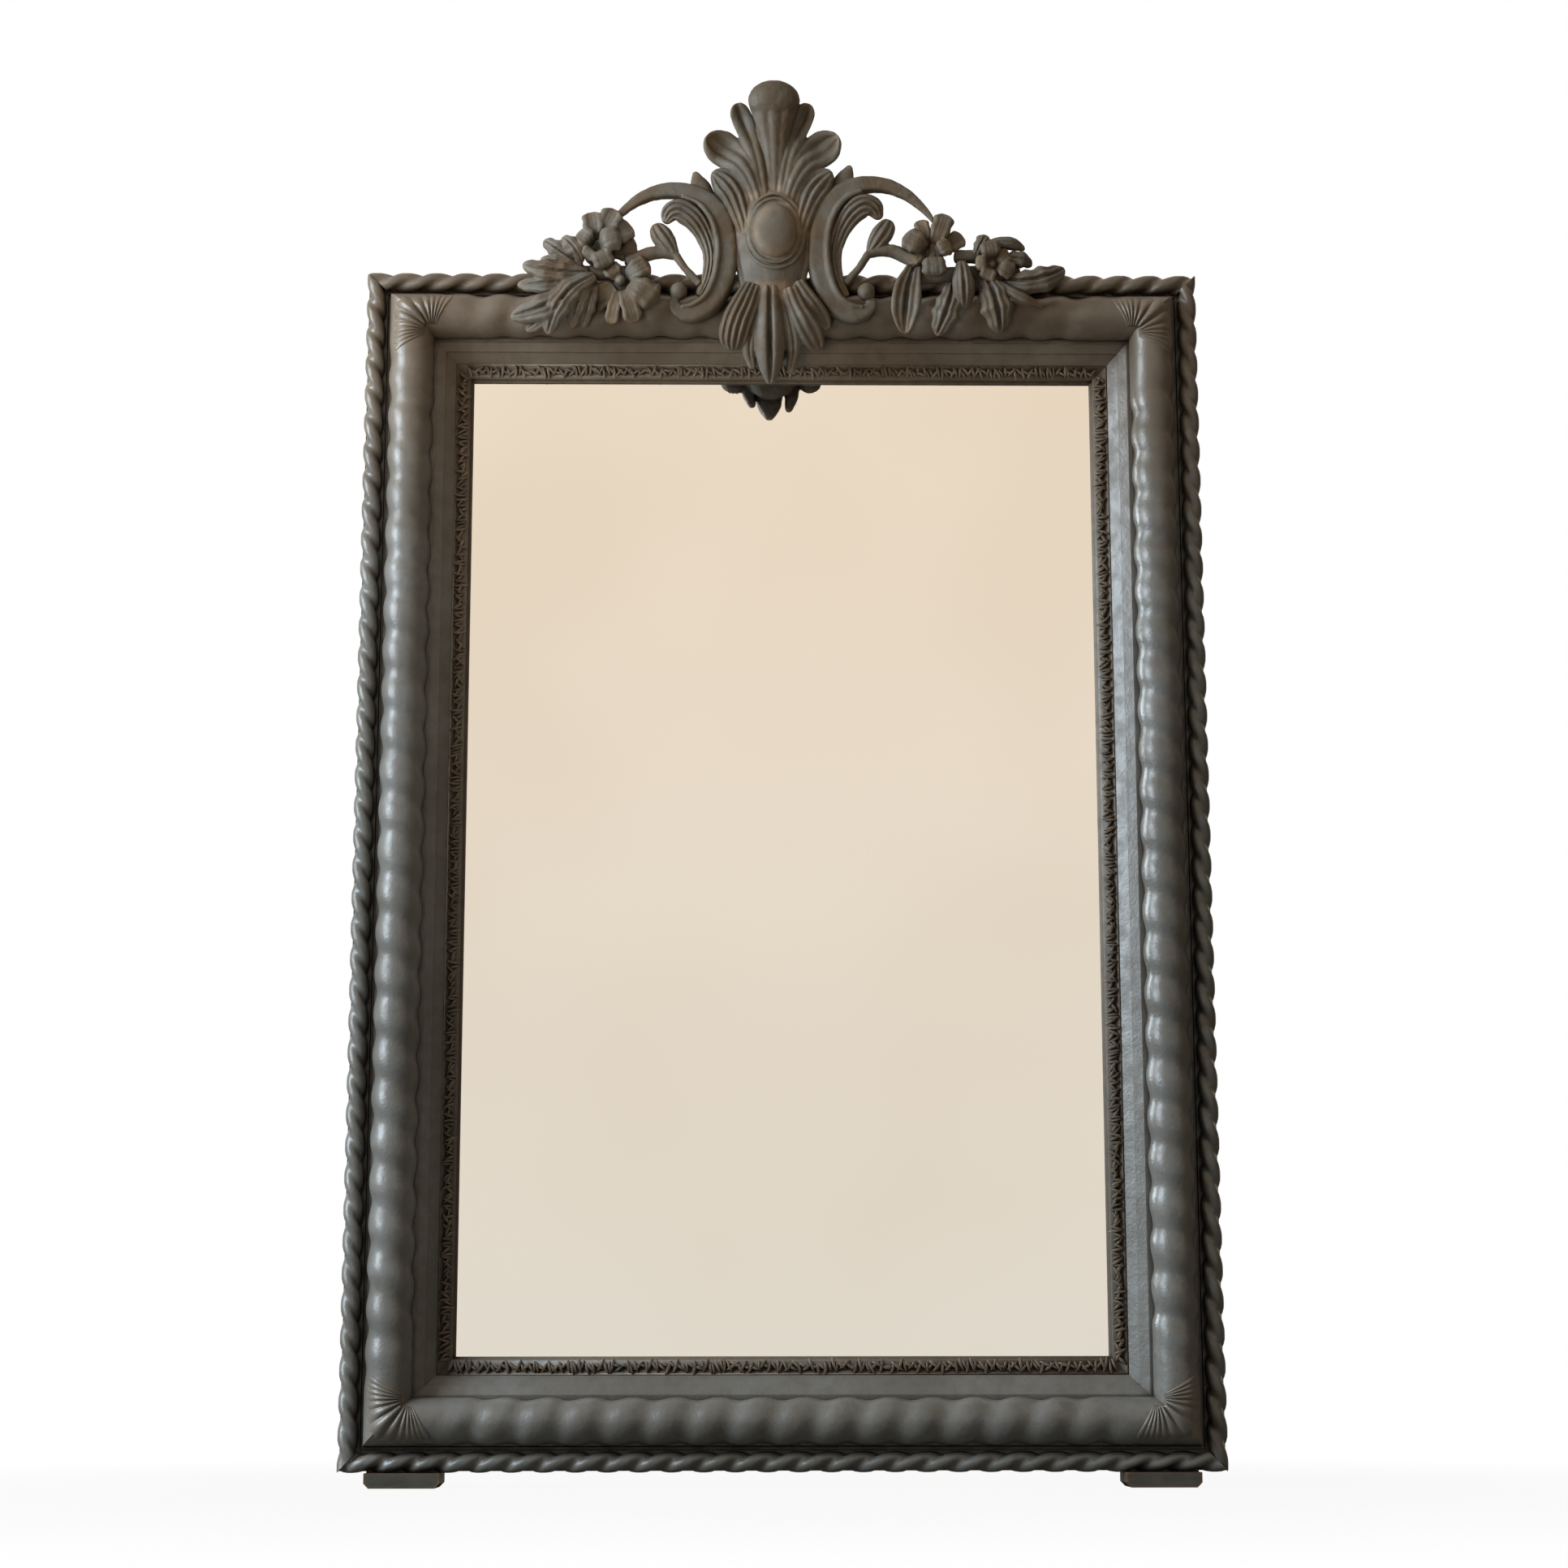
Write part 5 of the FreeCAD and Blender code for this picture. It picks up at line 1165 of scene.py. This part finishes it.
def spray_leaf(start, end, half, forward, bow, dish=-0.25, teeth=4):
    """A leaf from its start to its tip; bow bends it to its left, and a dish below 0 swells its face."""
    (x0, z0), (x1, z1) = start, end
    run_x, run_z = x1 - x0, z1 - z0
    rows = []
    for share, width, rise in SPRAY_ROWS:
        off = bow * math.sin(math.pi * share)
        rows.append((x0 + share * run_x - off * run_z, z0 + share * run_z + off * run_x, forward + rise,
                     half * width))
    return blade(rows, crown=-dish, edge=0.34, back=0.45, vein=0.26, flutes=4, flute=0.14, teeth=teeth,
                 tooth=0.17, tip=0.9, across=28)


# Each spray: its stems (start, end, half width), and its leaves
# (start, tip, half width, forward, bow, and for some the dish and the number of teeth)
SPRAYS = {
    "left_spray": ((
        ((-740, -60), (-1000, -60), 40), ((-900, -50), (-860, 160), 40),
    ), (
        ((-990, -30), (-1194, 118), 52, 25, 0.05), ((-990, -20), (-1100, 122), 42, 50, -0.06),
        ((-970, -50), (-1212, 8), 46, 35, 0.06), ((-950, -70), (-1305, -22), 60, 45, 0.1),
        ((-940, -80), (-1330, -130), 56, 30, 0.09), ((-950, -100), (-1362, -315), 78, 50, 0.12),
        ((-1000, -150), (-1280, -385), 66, 30, 0.04), ((-920, -90), (-1165, -415), 70, 60, -0.12),
        ((-940, -110), (-1045, -372), 50, 35, -0.05), ((-920, -110), (-985, -362), 44, 20, 0.0),
    )),
    "right_spray": ((
        ((680, -80), (1300, -40), 40), ((820, -70), (870, 170), 40), ((950, 40), (1120, 30), 35),
    ), (
        ((745, -10), (690, -395), 90, 35, -0.05, 0.35, 0), ((945, -120), (855, -405), 75, 35, 0.04),
        ((985, -10), (1000, -270), 68, 65, 0.0, -0.45, 0), ((1100, -70), (1185, -395), 88, 40, 0.05),
        ((1150, -100), (1410, -247), 32, 55, -0.1, -0.45, 0), ((1180, -90), (1530, -30), 74, 25, -0.16),
        ((1100, 90), (1325, 80), 42, 15, 0.06, -0.4, 0), ((1060, 30), (1122, 150), 40, 25, 0.0),
        ((1190, 0), (1360, -15), 46, 20, 0.1),
    )),
}
for name, (stems, leaves) in SPRAYS.items():
    carved(name, [spray_stem(*row) for row in stems] + [spray_leaf(*row) for row in leaves])

# %% [markdown]
# ## Floor, room and light
# The mirror stands on a plain floor before a white ground, and the floor fades into white for the
# camera. The world is white to the camera, warm cream to the glass (a pale room behind the viewer), and
# soft and dim as light. A large cool window light stands far round at the left, and a weak warm one at
# the right keeps the shadows open. A narrow warm beam from low in front lifts the top rail and crest,
# and one lamp behind lights the back.

# %% Floor
WHITE = (1, 1, 1, 1)
FLOOR_HALF = 12
FADE_FROM, FADE_TO = 0.5, 1.6
NEAR_WHITE = 0.93
FLOOR_DARK, FLOOR_PALE = (0.15, 0.14, 0.12, 1), (0.18, 0.17, 0.15, 1)

corners = [(FLOOR_HALF * x, FLOOR_HALF * y, 0) for x, y in ((-1, -1), (1, -1), (1, 1), (-1, 1))]
floor_mesh = bpy.data.meshes.new("floor")
floor_mesh.from_pydata(corners, [], [(0, 1, 2, 3)])
floor = add("floor", floor_mesh)

ground = Finish("pale_floor", roughness=0.9)
ground.coat(Base_Color=ground.blend(ground.noise(scale=1.5), FLOOR_DARK, FLOOR_PALE))
distance = ground.node("ShaderNodeVectorMath", {"operation": "LENGTH"}, Vector=ground.place)
far_off = ground.ramp(distance.outputs["Value"], FADE_FROM, FADE_TO)
camera_ray = ground.node("ShaderNodeLightPath").outputs["Is Camera Ray"]
share = ground.maths("MULTIPLY", camera_ray, ground.spread(far_off, NEAR_WHITE, 1.0))
white = ground.node("ShaderNodeEmission", Color=WHITE, Strength=1.0).outputs[0]
surface = ground.mix_shaders(share, ground.shader.outputs[0], white)
ground.feed(ground.tree.nodes["Material Output"], Surface=surface)
wear(floor, ground.material)
print("floor is set")

# %% World
CREAM_LOW, CREAM_HIGH, CREAM_TO = colour(232, 226, 216), colour(245, 229, 209), 0.32
DIM_FROM, DIM_TO, DIM_LEAST = 0.6, 0.95, 0.08
SOFT_TINT, SOFT_STRENGTH = (1.0, 0.86, 0.68, 1), 0.15

world = bpy.data.worlds.new("room")
bpy.context.scene.world = world
world.use_nodes = True
world.node_tree.nodes.clear()
room = NodeWriter(world.node_tree)


def background(tint, strength):
    return room.node("ShaderNodeBackground", Color=tint, Strength=strength).outputs[0]


path = room.node("ShaderNodeLightPath").outputs
view = room.node("ShaderNodeTexCoord").outputs["Generated"]
direction = room.node("ShaderNodeSeparateXYZ", Vector=view).outputs
height = room.node("ShaderNodeMapRange", Value=direction["Z"], From_Min=0.0, From_Max=CREAM_TO)
cream = room.blend(height.outputs[0], CREAM_LOW, CREAM_HIGH)
# The pale room darkens far to the right, so the frame's right-hand slopes reflect less of it
dim_right = room.node("ShaderNodeMapRange", Value=direction["X"], From_Min=DIM_FROM, From_Max=DIM_TO,
                      To_Min=1.0, To_Max=DIM_LEAST)
reflected = background(cream, dim_right.outputs[0])
lit = room.mix_shaders(path["Is Glossy Ray"], background(SOFT_TINT, SOFT_STRENGTH), reflected)
seen_straight = room.maths("MAXIMUM", path["Is Camera Ray"], path["Is Transmission Ray"])
final = room.mix_shaders(seen_straight, lit, background(WHITE, 1.0))
room.node("ShaderNodeOutputWorld", Surface=final)
print("world is set")

# %% Lamps
COOL, WARM, AMBER, PLAIN = (0.8, 0.93, 1.04), (1.0, 0.88, 0.74), (1.0, 0.84, 0.66), (1.0, 0.97, 0.93)


def area_light(name, place, target, size, power, tint, beam=180, in_glass=False):
    """A rectangular lamp that the camera never sees, and the glass only if in_glass says so."""
    lamp = bpy.data.lights.new(name, "AREA")
    lamp.spread = math.radians(beam)
    lamp.shape = "RECTANGLE"
    lamp.size, lamp.size_y = size
    lamp.energy = power
    lamp.color = tint
    made = add(name, lamp)
    made.location = place
    made.rotation_euler = (Vector(target) - Vector(place)).to_track_quat("-Z", "Y").to_euler()
    made.visible_camera = False
    made.visible_glossy = in_glass


area_light("window_left", (-2.75, -1.3, 1.75), (0, 0, 0.75), (1.4, 2.0), power=156, tint=COOL, in_glass=True)
area_light("room_right", (2.6, -2.2, 1.2), (0, 0, 0.7), (1.6, 1.6), power=6, tint=AMBER)
area_light("low_front", (-0.5, -2.5, 0.35), (-0.2, 0, 1.35), (0.6, 0.4), power=1.1, tint=WARM, beam=36)
area_light("behind", (0.8, 3.2, 2.4), (0, 0, 0.7), (2.0, 2.0), power=60, tint=PLAIN)
bpy.context.scene.view_settings.view_transform = "Standard"
print("lamps are set")
